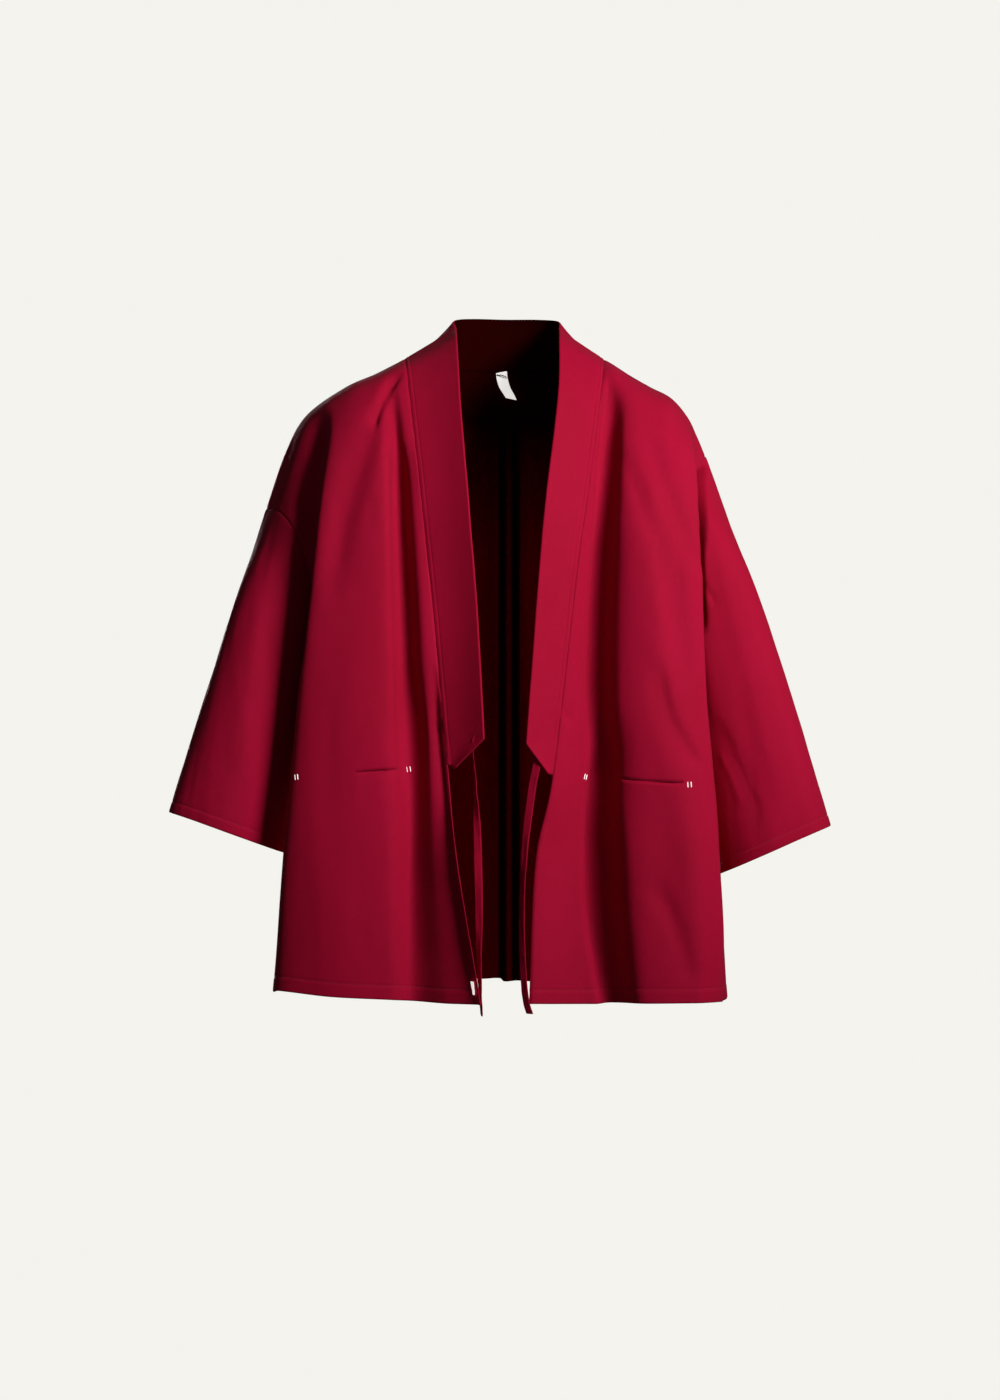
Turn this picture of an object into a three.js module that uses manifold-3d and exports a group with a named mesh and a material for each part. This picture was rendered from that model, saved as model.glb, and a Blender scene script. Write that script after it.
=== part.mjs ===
// A haori, an open-front short kimono jacket with three-quarter sleeves, filled out as if worn.
// Millimetres. +X is the viewer's right, -Y faces the viewer, +Z is up, and the origin is the
// middle of the neck between the shoulders.
import * as THREE from "three";
import { mergeVertices } from "three/addons/utils/BufferGeometryUtils.js";
import Module from "manifold-3d";

const wasm = await Module();
wasm.setup();

const CLOTH_WALL = 1.4;
const HEM_WALL = 2.6;
const COLLAR_WALL = 2.6;
const SEAM_HALF_GAP = 0.25;
const SAME_POINT = 0.001;

// Each front panel is a net of lines that run from the shoulder (first row) to the hem (last row).
// Rows: shoulder, top of chest, chest, mid armhole, armpit, collar end, below the pocket slit, hem.
// The first five rows of "side" are the front half of the armhole, the rest are the side seam.
const FRONT_LEFT = {
  edge: [
    [-109.1, 0, 0.9], [-105.3, -40, -19], [-97.6, -74, -79.4], [-87.8, -94, -162.5],
    [-74.4, -100, -290.2], [-60.4, -106, -443.7], [-50, -127, -544.9], [-24.8, -137, -694],
  ],
  lip: [
    [-117.9, 0, -4], [-115, -43, -22.6], [-107.2, -74, -81.5], [-99.6, -92, -162.3],
    [-89.2, -99, -290.2], [-80.6, -103, -443.8], [-74.1, -110, -546], [-60.2, -115, -695.3],
  ],
  foot: [
    [-126.8, 0, -8.5], [-124.1, -46, -27.4], [-117.1, -68, -84.1], [-111.2, -80, -161.3],
    [-104.6, -85, -289.7], [-98.2, -86, -444.3], [-97.1, -86, -547.7], [-95.9, -90, -695.3],
  ],
  crown: [
    [-142.2, 0, -16.3], [-139, -50, -34.4], [-132.5, -82, -91], [-127.5, -98, -166],
    [-125.1, -102, -290.3], [-124, -104, -443.8], [-122.9, -104, -546.4], [-121.9, -103, -692.6],
  ],
  mid: [
    [-176.4, 0, -31.7], [-172.7, -48, -48.8], [-165.7, -81, -103.7], [-166.8, -96, -173.3],
    [-171.9, -100, -290.2], [-179.2, -101, -443.9], [-182.3, -102, -546.6], [-183.5, -101, -689.7],
  ],
  fold: [
    [-218.3, 0, -62.5], [-211, -36, -77.1], [-196.1, -74, -118], [-200.2, -90, -186.6],
    [-210.4, -89, -289.8], [-224, -86, -444.3], [-233.1, -85, -547.8], [-239.3, -82, -685.7],
  ],
  arm: [
    [-241, 0, -104], [-231, -34, -126], [-213, -62, -160], [-208, -68, -230],
    [-202, -46, -306], [-219, -46, -444], [-233, -43, -547], [-248.5, -40, -692],
  ],
  side: [
    [-262, 0, -165], [-243, -36, -172], [-223, -52, -200], [-206, -38, -262],
    [-196, 0, -308], [-208, 0, -444], [-224, 0, -546], [-244, 0, -694],
  ],
};
const FRONT_RIGHT = {
  edge: [
    [110.2, 0, -0.2], [107.4, -40, -20.1], [99.5, -74, -79.4], [88, -94, -162.5],
    [77.2, -100, -237.2], [51.7, -102, -454.4], [33.3, -98, -546.9], [26.4, -98, -697.5],
  ],
  foot: [
    [120.2, 0, -5.7], [117.5, -45, -25.1], [112.7, -66, -84.9], [106.5, -85, -167.1],
    [101.1, -87, -245], [96, -80, -455.1], [98.3, -76, -548.4], [102.6, -77, -700.2],
  ],
  brow: [
    [138.9, 0, -17.8], [135.1, -50, -36.6], [128, -82, -95.3], [124.7, -104, -173.9],
    [122.3, -109, -251.4], [124.5, -108, -454.2], [132.8, -110, -546], [143.4, -110, -696],
  ],
  crown: [
    [161, 0, -30.4], [157.2, -50, -49.6], [152.4, -84, -107.2], [152, -107, -181.6],
    [155.8, -114, -254.8], [168.4, -115, -454], [185.4, -113, -545.8], [196, -112, -694.6],
  ],
  mid: [
    [184.1, 0, -42.7], [179.7, -46, -61], [175.2, -78, -114.1], [177.1, -97, -186.1],
    [181, -102, -258.5], [199.9, -103, -454.4], [210.7, -101, -546.7], [217.4, -97, -695.5],
  ],
  fold: [
    [201.7, 0, -63], [200.4, -31, -79.8], [200.1, -62, -123.2], [200.6, -82, -190.3],
    [202.3, -87, -259.9], [223.4, -78, -455.2], [230.3, -72, -548.6], [237.2, -62, -697.8],
  ],
  arm: [
    [212, 0, -84], [206, -33, -111], [201, -58, -154], [194, -66, -218],
    [186, -46, -264], [206, -40, -454], [227, -34, -548], [243.5, -26, -698],
  ],
  side: [
    [221.6, 0, -107], [204, -36, -137], [197, -51, -186], [187, -38, -236],
    [178, 0, -262], [200, 0, -452], [222, 0, -546], [242, 0, -697],
  ],
};
const ARMPIT_ROW = 4;
const COLLAR_END_ROW = 5;

// Steps that each net interval is cut into, from row to row and from line to line.
const ROW_STEPS = [2, 3, 3, 3, 5, 3, 4];
const LINE_STEPS = [2, 2, 2, 2, 2, 2, 2];
const HEM_FOLD = 0.1;

// Back neck seam and the collar's free top edge above it, from the viewer's left to the right.
const NECK_SEAM = [
  [-109.1, 0, 0.9], [-92, 36, -1], [-52, 63, -3], [0, 71, -4], [52, 63, -4], [93, 36, -2], [110.2, 0, -0.2],
];
const NECK_FREE = [
  [-54, 8, 36], [-56, 34, 48], [-36, 57, 53], [2, 66, 53.5], [41, 57, 52], [61, 34, 46.5], [62, 8, 34],
];
const NECK_STEPS = [3, 3, 3, 3, 3, 3];

// The collar's free edge down each front, by the same rows as the front panels.
const COLLAR_FREE_LEFT = [
  [-54, 8, 36], [-52, -38, 12], [-47.4, -84, -57],
  [-39.2, -113, -156], [-29.3, -121, -280], [-21.6, -131, -403],
];
const COLLAR_FREE_RIGHT = [
  [62, 8, 34], [61, -40, 12], [58, -84, -55],
  [45.6, -109, -156], [38.7, -113, -228], [24, -118, -421],
];
const COLLAR_TIP_LEFT = [-54, -111, -448];
const COLLAR_TIP_RIGHT = [47, -109, -453];
// Each collar end is cut slanting: below this share of its last row the free edge turns to the tip.
const COLLAR_CUT_SHARE = 0.8;

// Back panel: how each row settles from its top edge towards the hem.
// fall: share of the way down to the hem. depth: how far back it stands. spread: share of the way
// sideways from its place on the top edge to its place on the hem.
const BACK_ROWS = [
  { fall: 0, depth: 0, spread: 0 },
  { fall: 0.035, depth: 40, spread: 0.06 },
  { fall: 0.1, depth: 68, spread: 0.2 },
  { fall: 0.235, depth: 88, spread: 0.66 },
  { fall: 0.39, depth: 95, spread: 0.92 },
  { fall: 0.635, depth: 98, spread: 0.96 },
  { fall: 0.78, depth: 98, spread: 0.98 },
  { fall: 1, depth: 97, spread: 1 },
];
const BACK_ARMHOLE_LEFT = [[-262, 0, -165], [-250, 36, -176], [-230, 52, -208], [-209, 38, -266]];
const BACK_ARMHOLE_RIGHT = [[221.6, 0, -107], [218, 34, -126], [205, 51, -176], [190, 38, -231]];
const BACK_ROUNDNESS = 2.8;
const BACK_DEPTH = 98;
// Where the back starts behind the neck it comes forward more slowly, by this much.
const NECK_SLOWING = 2.2;
// Only columns near a side seam follow its height: the power of their share of the half width.
const SIDE_PULL = 4;
// Two soft folds beside the back's middle, and a shallow ridge between them. They are at their full
// depth once a row has fallen by the share below.
const FOLD_START = 0.125;
const BACK_FOLDS = [
  { name: "left fold", x: -8, width: 9, depth: 9 },
  { name: "middle", x: 3, width: 6, depth: -4 },
  { name: "right fold", x: 15, width: 10, depth: 10 },
];

// Sleeves: the cuff's outer and inner ends, and half the tube's depth at even steps along it.
const SLEEVE_LEFT = { outer: [-366, 0, -498], inner: [-244, 0, -543], bow: 1, halfDepth: [50, 57, 60, 60] };
const SLEEVE_RIGHT = { outer: [356, 0, -513], inner: [240, 0, -567], bow: 5, halfDepth: [50, 58, 61, 60] };
const SLEEVE_STEPS = 15;
// The cuff's turned hem starts this part of a step above its edge.
const CUFF_FOLD = 0.35;
const ARMHOLE_BLEND = 0.38;
const CUFF_TILT = 5;
// The outer half of each tube is flatter than an oval: below 1 its front and back stay level for longer.
const SLEEVE_FLATNESS = 0.6;

const CRIMSON = { color: 0xa5123c, roughness: 0.92, metalness: 0 };
const WHITE = { color: 0xe9e6e1, roughness: 0.85, metalness: 0 };

const vec = (p) => new THREE.Vector3(p[0], p[1], p[2]);

// A smooth curve through a list of points: t counts the points, and whole numbers land on them.
function along(points, t) {
  const last = points.length - 1;
  const k = Math.min(Math.floor(t), last - 1);
  const s = t - k;
  const p1 = points[k];
  const p2 = points[k + 1];
  const p0 = k > 0 ? points[k - 1] : p1.clone().multiplyScalar(2).sub(p2);
  const p3 = k + 2 <= last ? points[k + 2] : p2.clone().multiplyScalar(2).sub(p1);
  const a = p1.clone().multiplyScalar(2);
  const b = p2.clone().sub(p0).multiplyScalar(s);
  const c = p0.clone().multiplyScalar(2).addScaledVector(p1, -5).addScaledVector(p2, 4).sub(p3);
  const d = p1.clone().multiplyScalar(3).sub(p0).addScaledVector(p2, -3).add(p3);
  c.multiplyScalar(s * s);
  d.multiplyScalar(s * s * s);
  return a.add(b).add(c).add(d).multiplyScalar(0.5);
}

// Parameters that cut each whole interval into its number of even steps.
function stations(steps) {
  const out = [0];
  steps.forEach((n, k) => {
    for (let i = 1; i <= n; i += 1) out.push(k + i / n);
  });
  return out;
}

const rowStations = stations(ROW_STEPS);
rowStations.splice(rowStations.length - 1, 0, ROW_STEPS.length - HEM_FOLD);
const lineStations = stations(LINE_STEPS);
const armpitIndex = rowStations.indexOf(ARMPIT_ROW);
const collarEndIndex = rowStations.indexOf(COLLAR_END_ROW);
const hemIndex = rowStations.length - 1;

// A sheet is points[i][j] with its outward side to one hand of the grid; closed wraps i round.
function sheet(points, { flip = false, closed = false, wall = CLOTH_WALL } = {}) {
  return { points, flip, closed, wall, normals: null };
}

function gridNormals(s) {
  const ni = s.points.length;
  const nj = s.points[0].length;
  const at = (i, j) => s.points[s.closed ? (i + ni) % ni : Math.max(0, Math.min(ni - 1, i))][
    Math.max(0, Math.min(nj - 1, j))];
  s.normals = s.points.map((column, i) => column.map((p, j) => {
    const du = at(i + 1, j).clone().sub(at(i - 1, j));
    const dv = at(i, j + 1).clone().sub(at(i, j - 1));
    const n = du.cross(dv).normalize();
    return s.flip ? n.negate() : n;
  }));
}

function isEdge(s, i, j) {
  const ends = !s.closed && (i === 0 || i === s.points.length - 1);
  return ends || j === 0 || j === s.points[0].length - 1;
}

// Where sheets share seam points, they also share the direction of their walls' thickness.
function shareSeamNormals(sheets) {
  const meeting = new Map();
  for (const s of sheets) {
    s.points.forEach((column, i) => column.forEach((p, j) => {
      if (!isEdge(s, i, j)) return;
      const key = [p.x, p.y, p.z].map((c) => Math.round(c / SAME_POINT)).join();
      if (!meeting.has(key)) meeting.set(key, []);
      meeting.get(key).push([s, i, j]);
    }));
  }
  for (const list of meeting.values()) {
    if (list.length < 2) continue;
    const sum = new THREE.Vector3();
    for (const [s, i, j] of list) sum.add(s.normals[i][j]);
    sum.normalize();
    for (const [s, i, j] of list) s.normals[i][j] = sum.clone();
    for (const [s, i, j] of list) s.seam = (s.seam || new Set()).add(i + "," + j);
  }
}

// Each seam edge steps back into its own sheet, so that two sheets keep a thin gap at their seam.
function openSeams(s) {
  const moved = [];
  const ni = s.points.length;
  const nj = s.points[0].length;
  s.points.forEach((column, i) => column.forEach((p, j) => {
    if (!s.seam || !s.seam.has(i + "," + j)) return;
    const inward = new THREE.Vector3();
    const towards = (a, b) => {
      const d = s.points[(a + ni) % ni][b].clone().sub(p);
      d.addScaledVector(s.normals[i][j], -d.dot(s.normals[i][j])).normalize();
      inward.add(d);
    };
    if (!s.closed && i === 0) towards(1, j);
    if (!s.closed && i === ni - 1) towards(ni - 2, j);
    if (j === 0) towards(i, 1);
    if (j === nj - 1) towards(i, nj - 2);
    moved.push([i, j, p.clone().addScaledVector(inward, SEAM_HALF_GAP)]);
  }));
  for (const [i, j, p] of moved) s.points[i][j] = p;
}

// The closed wall of a sheet: outer face, inner face and the strips round its edges.
function wallGeometry(s) {
  const ni = s.points.length;
  const nj = s.points[0].length;
  const position = [];
  const push = (side) => s.points.forEach((column, i) => column.forEach((p, j) => {
    const wall = typeof s.wall === "function" ? s.wall(i, j) : s.wall;
    const reach = side > 0 ? CLOTH_WALL / 2 : CLOTH_WALL / 2 - wall;
    const q = p.clone().addScaledVector(s.normals[i][j], reach);
    position.push(q.x, q.y, q.z);
  }));
  push(1);
  push(-1);
  const outer = (i, j) => (s.closed ? (i + ni) % ni : i) * nj + j;
  const inner = (i, j) => ni * nj + outer(i, j);
  const index = [];
  const quad = (a, b, c, d) => index.push(a, b, c, a, c, d);
  const turn = s.flip ? (a, b, c, d) => quad(d, c, b, a) : quad;
  const columns = s.closed ? ni : ni - 1;
  for (let i = 0; i < columns; i += 1) {
    for (let j = 0; j < nj - 1; j += 1) {
      turn(outer(i, j), outer(i + 1, j), outer(i + 1, j + 1), outer(i, j + 1));
      turn(inner(i, j + 1), inner(i + 1, j + 1), inner(i + 1, j), inner(i, j));
    }
    turn(inner(i, 0), inner(i + 1, 0), outer(i + 1, 0), outer(i, 0));
    turn(outer(i, nj - 1), outer(i + 1, nj - 1), inner(i + 1, nj - 1), inner(i, nj - 1));
  }
  if (!s.closed) {
    for (let j = 0; j < nj - 1; j += 1) {
      turn(outer(0, j), outer(0, j + 1), inner(0, j + 1), inner(0, j));
      turn(inner(ni - 1, j), inner(ni - 1, j + 1), outer(ni - 1, j + 1), outer(ni - 1, j));
    }
  }
  const geometry = new THREE.BufferGeometry();
  geometry.setAttribute("position", new THREE.Float32BufferAttribute(position, 3));
  geometry.setIndex(index);
  geometry.computeVertexNormals();
  return geometry;
}

// A panel from its net of lines, at the given stations across and down.
function netPanel(lines, across, down) {
  const columns = Object.values(lines).map((rows) => {
    const points = rows.map(vec);
    return down.map((t) => along(points, t));
  });
  return across.map((u) => down.map((t, j) => along(columns.map((c) => c[j]), u)));
}

const frontLeft = netPanel(FRONT_LEFT, lineStations, rowStations);
const frontRight = netPanel(FRONT_RIGHT, lineStations, rowStations);

// Back panel: columns start on the left shoulder, the back neck and the right shoulder in turn.
const neckStations = stations(NECK_STEPS);
const neckSeam = neckStations.map((t) => along(NECK_SEAM.map(vec), t));
neckSeam[0] = frontLeft[0][0].clone();
neckSeam[neckSeam.length - 1] = frontRight[0][0].clone();
const backTop = [
  ...frontLeft.map((column) => column[0].clone()).reverse(),
  ...neckSeam.slice(1, -1),
  ...frontRight.map((column) => column[0].clone()),
];

function backFold(x) {
  return BACK_FOLDS.reduce((sum, f) => sum + f.depth * Math.exp(-(((x - f.x) / f.width) ** 2)), 0);
}

// The seam line of the back at one side: the armhole's back half, then the front's own side seam.
function backSide(front, armhole) {
  const loop = [...armhole.map(vec), front[front.length - 1][armpitIndex].clone()];
  return rowStations.map((t, j) => (j < armpitIndex ? along(loop, t) : front[front.length - 1][j].clone()));
}

function backPanel() {
  const leftSide = backSide(frontLeft, BACK_ARMHOLE_LEFT);
  const rightSide = backSide(frontRight, BACK_ARMHOLE_RIGHT);
  const settings = BACK_ROWS.map((r) => new THREE.Vector3(r.fall, r.depth, r.spread));
  return backTop.map((top, i) => {
    const side = top.x < 0 ? leftSide : rightSide;
    if (i === 0) return leftSide;
    if (i === backTop.length - 1) return rightSide;
    return rowStations.map((t, j) => {
      if (j === 0) return top.clone();
      const row = along(settings, t);
      const share = Math.abs(top.x / side[0].x);
      const hem = side[hemIndex].z;
      const edge = side[j];
      const x = THREE.MathUtils.lerp(top.x, share * edge.x, row.z);
      const round = (1 - share ** BACK_ROUNDNESS) ** (1 / BACK_ROUNDNESS);
      const start = Math.max(top.y, 0);
      const slow = 1 + (NECK_SLOWING * start) / BACK_DEPTH;
      const deep = start + (BACK_DEPTH - start) * (row.y / BACK_DEPTH) ** slow;
      const y = THREE.MathUtils.lerp(edge.y, deep, round) + backFold(x) * Math.min(1, row.x / FOLD_START);
      const z = THREE.MathUtils.lerp(THREE.MathUtils.lerp(top.z, hem, row.x), edge.z, share ** SIDE_PULL);
      return new THREE.Vector3(x, y, z);
    });
  });
}
const back = backPanel();

// A sleeve: oval rings between an outer and an inner rail, starting on the armhole itself.
function sleeve(front, backColumn, spec) {
  const frontLoop = front[front.length - 1].slice(0, armpitIndex + 1);
  const backLoop = backColumn.slice(1, armpitIndex).reverse();
  const loop = [...frontLoop, ...backLoop].map((p) => p.clone());
  const top = loop[0];
  const armpit = loop[armpitIndex];
  const depths = spec.halfDepth.map((d) => new THREE.Vector3(d, 0, 0));
  const oval = (turn, s) => {
    const outer = top.clone().lerp(vec(spec.outer), s);
    outer.x += Math.sign(outer.x) * spec.bow * Math.sin(Math.PI * s);
    const inner = armpit.clone().lerp(vec(spec.inner), s);
    const depth = along(depths, s * (depths.length - 1)).x;
    const p = outer.clone().add(inner).multiplyScalar(0.5);
    p.addScaledVector(outer.sub(inner), 0.5 * Math.cos(turn));
    const flat = Math.cos(turn) > 0 ? SLEEVE_FLATNESS : 1;
    p.y -= depth * Math.sign(Math.sin(turn)) * Math.abs(Math.sin(turn)) ** flat;
    p.z += CUFF_TILT * s * Math.sin(turn);
    return p;
  };
  return loop.map((start, i) => {
    const turn = (2 * Math.PI * i) / loop.length;
    const column = [];
    for (let k = 0; k <= SLEEVE_STEPS; k += 1) {
      const s = k === SLEEVE_STEPS - 1 ? 1 - CUFF_FOLD / SLEEVE_STEPS : k / SLEEVE_STEPS;
      const hold = 1 - THREE.MathUtils.smoothstep(s, 0, ARMHOLE_BLEND);
      const shift = start.clone().sub(oval(turn, 0)).multiplyScalar(hold);
      column.push(oval(turn, s).add(shift));
    }
    return column;
  });
}
const sleeveLeft = sleeve(frontLeft, back[0], SLEEVE_LEFT);
const sleeveRight = sleeve(frontRight, back[back.length - 1], SLEEVE_RIGHT);

// The collar runs along the left front's edge, the back neck and the right front's edge.
const COLLAR_ACROSS = 4;
const COLLAR_ROLL = 0.8;
function collarPanel() {
  const down = rowStations.slice(0, collarEndIndex + 1);
  const lastRow = COLLAR_END_ROW - 1;
  const freeLine = (points, tip) => down.map((t, j) => {
    if (j === collarEndIndex) return vec(tip);
    const stretched = lastRow + (t - lastRow) / COLLAR_CUT_SHARE;
    return along(points.map(vec), t > lastRow ? Math.min(COLLAR_END_ROW, stretched) : t);
  });
  const freeLeft = freeLine(COLLAR_FREE_LEFT, COLLAR_TIP_LEFT);
  const freeRight = freeLine(COLLAR_FREE_RIGHT, COLLAR_TIP_RIGHT);
  const freeNeck = neckStations.map((t) => along(NECK_FREE.map(vec), t));
  const seam = [
    ...frontLeft[0].slice(1, collarEndIndex + 1).map((p) => p.clone()).reverse(),
    ...neckSeam.map((p) => p.clone()),
    ...frontRight[0].slice(1, collarEndIndex + 1).map((p) => p.clone()),
  ];
  const free = [...freeLeft.slice(1).reverse(), ...freeNeck, ...freeRight.slice(1)];
  return seam.map((start, i) => {
    const before = seam[Math.max(0, i - 1)];
    const after = seam[Math.min(seam.length - 1, i + 1)];
    const out = free[i].clone().sub(start).cross(after.clone().sub(before)).normalize();
    const column = [];
    for (let k = 0; k <= COLLAR_ACROSS; k += 1) {
      const t = k / COLLAR_ACROSS;
      const p = start.clone().lerp(free[i], t);
      column.push(p.addScaledVector(out, COLLAR_ROLL * Math.sin(Math.PI * t)));
    }
    return column;
  });
}
const collar = collarPanel();

const hemWall = (i, j) => (j >= hemIndex - 1 ? HEM_WALL : CLOTH_WALL);
const cuffWall = (i, j) => (j >= SLEEVE_STEPS - 1 ? HEM_WALL : CLOTH_WALL);
const sheets = {
  front_left: sheet(frontLeft, { wall: hemWall }),
  front_right: sheet(frontRight, { flip: true, wall: hemWall }),
  back: sheet(back, { wall: hemWall }),
  sleeve_left: sheet(sleeveLeft, { closed: true, wall: cuffWall, flip: true }),
  sleeve_right: sheet(sleeveRight, { closed: true, wall: cuffWall }),
  collar: sheet(collar, { flip: true, wall: COLLAR_WALL }),
};
for (const s of Object.values(sheets)) gridNormals(s);
shareSeamNormals(Object.values(sheets));

// A patch on a panel's inside: some of the panel's own points, moved inwards along its normals.
const PATCH_GAP = 0.9;
const BAG_WALL = 0.8;
function insidePatch(panel, lines, rows) {
  const [fromLine, toLine] = lines.map((t) => lineStations.indexOf(t));
  const [fromRow, toRow] = rows.map((t) => rowStations.indexOf(t));
  const take = (grid) => grid.slice(fromLine, toLine + 1).map((column) => column.slice(fromRow, toRow + 1));
  const normals = take(panel.normals);
  const inset = -(CLOTH_WALL + PATCH_GAP);
  const points = take(panel.points).map((column, i) => column.map((p, j) => (
    p.clone().addScaledVector(normals[i][j], inset))));
  const patch = sheet(points, { flip: panel.flip, wall: BAG_WALL });
  patch.normals = normals;
  return patch;
}
function between(from, to, steps) {
  return Array.from({ length: steps + 1 }, (_, k) => from + ((to - from) * k) / steps);
}

// Pocket slits: the two ends (between the bartacks) and the bag's stations behind each.
const SLIT_HEIGHT = 1.4;
const SLIT_DEPTH = 90;
const SLIT_Y = -90;
const POCKETS = {
  left: { from: [-216, -452.5], to: [-103, -445], lines: [2, 5.5], rows: [4.8, 6.25] },
  right: { from: [89, -455], to: [196, -462], lines: [1, 5.5], rows: [4.8, 6.25] },
};
function slitSolid(pocket) {
  const [x1, z1] = pocket.from;
  const [x2, z2] = pocket.to;
  const box = new THREE.BoxGeometry(Math.hypot(x2 - x1, z2 - z1), SLIT_DEPTH, SLIT_HEIGHT);
  box.rotateY(-Math.atan2(z2 - z1, x2 - x1));
  box.translate((x1 + x2) / 2, SLIT_Y, (z1 + z2) / 2);
  box.deleteAttribute("normal");
  box.deleteAttribute("uv");
  return toManifold(mergeVertices(box));
}

function toManifold(geometry) {
  return new wasm.Manifold(new wasm.Mesh({
    numProp: 3,
    vertProperties: geometry.getAttribute("position").array,
    triVerts: new Uint32Array(geometry.getIndex().array),
  }));
}

function toGeometry(solid) {
  const mesh = solid.getMesh();
  const geometry = new THREE.BufferGeometry();
  const stride = mesh.numProp;
  const position = [];
  for (let i = 0; i < mesh.vertProperties.length; i += stride) {
    position.push(mesh.vertProperties[i], mesh.vertProperties[i + 1], mesh.vertProperties[i + 2]);
  }
  geometry.setAttribute("position", new THREE.Float32BufferAttribute(position, 3));
  geometry.setIndex(Array.from(mesh.triVerts));
  geometry.computeVertexNormals();
  return geometry;
}

// Ties hang from behind the collar: their tops are the collar's own points moved inwards, between
// two shares of its width, and the rest follows a path of centres.
const TIE_WIDTH = 9;
const TIE_WALL = 1.2;
const TRIM_WALL = 0.8;
const TIE_STEPS = 4;
const TIE_TOP_SHARES = [0.56, 0.8];
const TIE_TOP_ROWS = [2, 1.5, 1];
const TIE_LEFT_PATH = [
  [-33, -110, -440], [-31.5, -108, -455], [-30, -108, -480], [-28.6, -109, -512], [-27.6, -112, -545],
  [-26.6, -118, -590], [-26.5, -125, -640], [-25.5, -130, -672], [-23.4, -131.4, -706],
];
const TIE_RIGHT_PATH = [
  [35, -109, -440], [30, -105, -466], [25.5, -104, -498], [22, -104, -530], [20, -104, -562],
  [18.8, -104, -597], [19.2, -104, -640], [20.8, -105, -672], [23.5, -106, -695], [27, -106, -707],
];
const COLLAR_INNER_REACH = COLLAR_WALL - CLOTH_WALL / 2;
const TRIM_GAP = 0.4;

// A point of a sheet between its grid points, moved out along the sheet's normal (in, if negative).
function spot(s, i, j, reach) {
  const i0 = Math.min(Math.floor(i), s.points.length - 2);
  const j0 = Math.min(Math.floor(j), s.points[0].length - 2);
  const mix = (grid) => {
    const near = grid[i0][j0].clone().lerp(grid[i0][j0 + 1], j - j0);
    const far = grid[i0 + 1][j0].clone().lerp(grid[i0 + 1][j0 + 1], j - j0);
    return near.lerp(far, i - i0);
  };
  return mix(s.points).addScaledVector(mix(s.normals), reach);
}

function tie(side, path) {
  const last = sheets.collar.points.length - 1;
  const inset = -(COLLAR_INNER_REACH + TRIM_GAP + TIE_WALL - CLOTH_WALL / 2);
  const points = path.map(vec);
  const steps = between(0, points.length - 1, (points.length - 1) * TIE_STEPS);
  const half = new THREE.Vector3(TIE_WIDTH / 2, 0, 0);
  const shares = side < 0 ? TIE_TOP_SHARES : TIE_TOP_SHARES.slice().reverse();
  const grid = shares.map((share, e) => {
    const top = TIE_TOP_ROWS.map((row) => (
      spot(sheets.collar, side < 0 ? row : last - row, share * COLLAR_ACROSS, inset)));
    return [...top, ...steps.map((t) => along(points, t).addScaledVector(half, e === 0 ? -1 : 1))];
  });
  const s = sheet(grid, { wall: TIE_WALL });
  gridNormals(s);
  return s;
}

// The white tab lies on the left front's corner: the panel's own points, moved outwards.
const TAB_COLUMNS = [0.03, 0.22];
const TAB_ROWS = [6.84, 6.87, 6.9, 6.93];
function cornerTab(panel) {
  const index = (t) => {
    const k = rowStations.findIndex((r) => r > t) - 1;
    return k + (t - rowStations[k]) / (rowStations[k + 1] - rowStations[k]);
  };
  const reach = CLOTH_WALL / 2 + TRIM_GAP - (CLOTH_WALL / 2 - TRIM_WALL);
  const points = TAB_COLUMNS.map((i) => TAB_ROWS.map((t) => spot(panel, i, index(t), reach)));
  const s = sheet(points, { wall: TRIM_WALL });
  gridNormals(s);
  return s;
}

// Small trim: a strip of cloth that follows a path, its width along "wide".
function strip(path, steps, width, wall, wide) {
  const points = path.map(vec);
  const centre = between(0, points.length - 1, steps).map((t) => along(points, t));
  const half = vec(wide).normalize().multiplyScalar(width / 2);
  const grid = [-1, 1].map((side) => centre.map((p) => p.clone().addScaledVector(half, side)));
  const s = sheet(grid, { wall });
  gridNormals(s);
  return s;
}
const LABEL_WIDTH = 12.5;
const LABEL_STEPS = 12;
const LABEL_ACROSS = [1, 0.1, 0.3];
const LABEL_PATH = [
  [-2.5, 69, -6], [-1.5, 65.5, -14], [1.5, 62, -24], [6.5, 60.5, -33], [8, 60.5, -37.5],
];

for (const s of Object.values(sheets)) openSeams(s);
sheets.pocket_left = insidePatch(sheets.front_left, POCKETS.left.lines, POCKETS.left.rows);
sheets.pocket_right = insidePatch(sheets.front_right, POCKETS.right.lines, POCKETS.right.rows);
sheets.tie_left = tie(-1, TIE_LEFT_PATH);
sheets.tie_right = tie(1, TIE_RIGHT_PATH);
sheets.tie_tab = cornerTab(sheets.front_left);
sheets.neck_label = strip(LABEL_PATH, LABEL_STEPS, LABEL_WIDTH, TRIM_WALL, LABEL_ACROSS);

const haori = new THREE.Group();
haori.name = "haori";
for (const [name, s] of Object.entries(sheets)) {
  let geometry = wallGeometry(s);
  const pocket = { front_left: POCKETS.left, front_right: POCKETS.right }[name];
  if (pocket) geometry = toGeometry(toManifold(geometry).subtract(slitSolid(pocket)));
  const look = ["tie_tab", "neck_label"].includes(name) ? WHITE : CRIMSON;
  const mesh = new THREE.Mesh(geometry, new THREE.MeshStandardMaterial(look));
  mesh.name = name;
  haori.add(mesh);
}

export default haori;
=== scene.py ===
"""The looks of a short open-front haori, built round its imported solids.

Every cloth piece is a surface over two parameters, worked out with numpy from the same named
lines as the solids, on a finer grid, with the small creases, seams and stitches added.
Tables are in millimetres: +X is the viewer's right, -Y faces the viewer, +Z is up.
"""

import math

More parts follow.
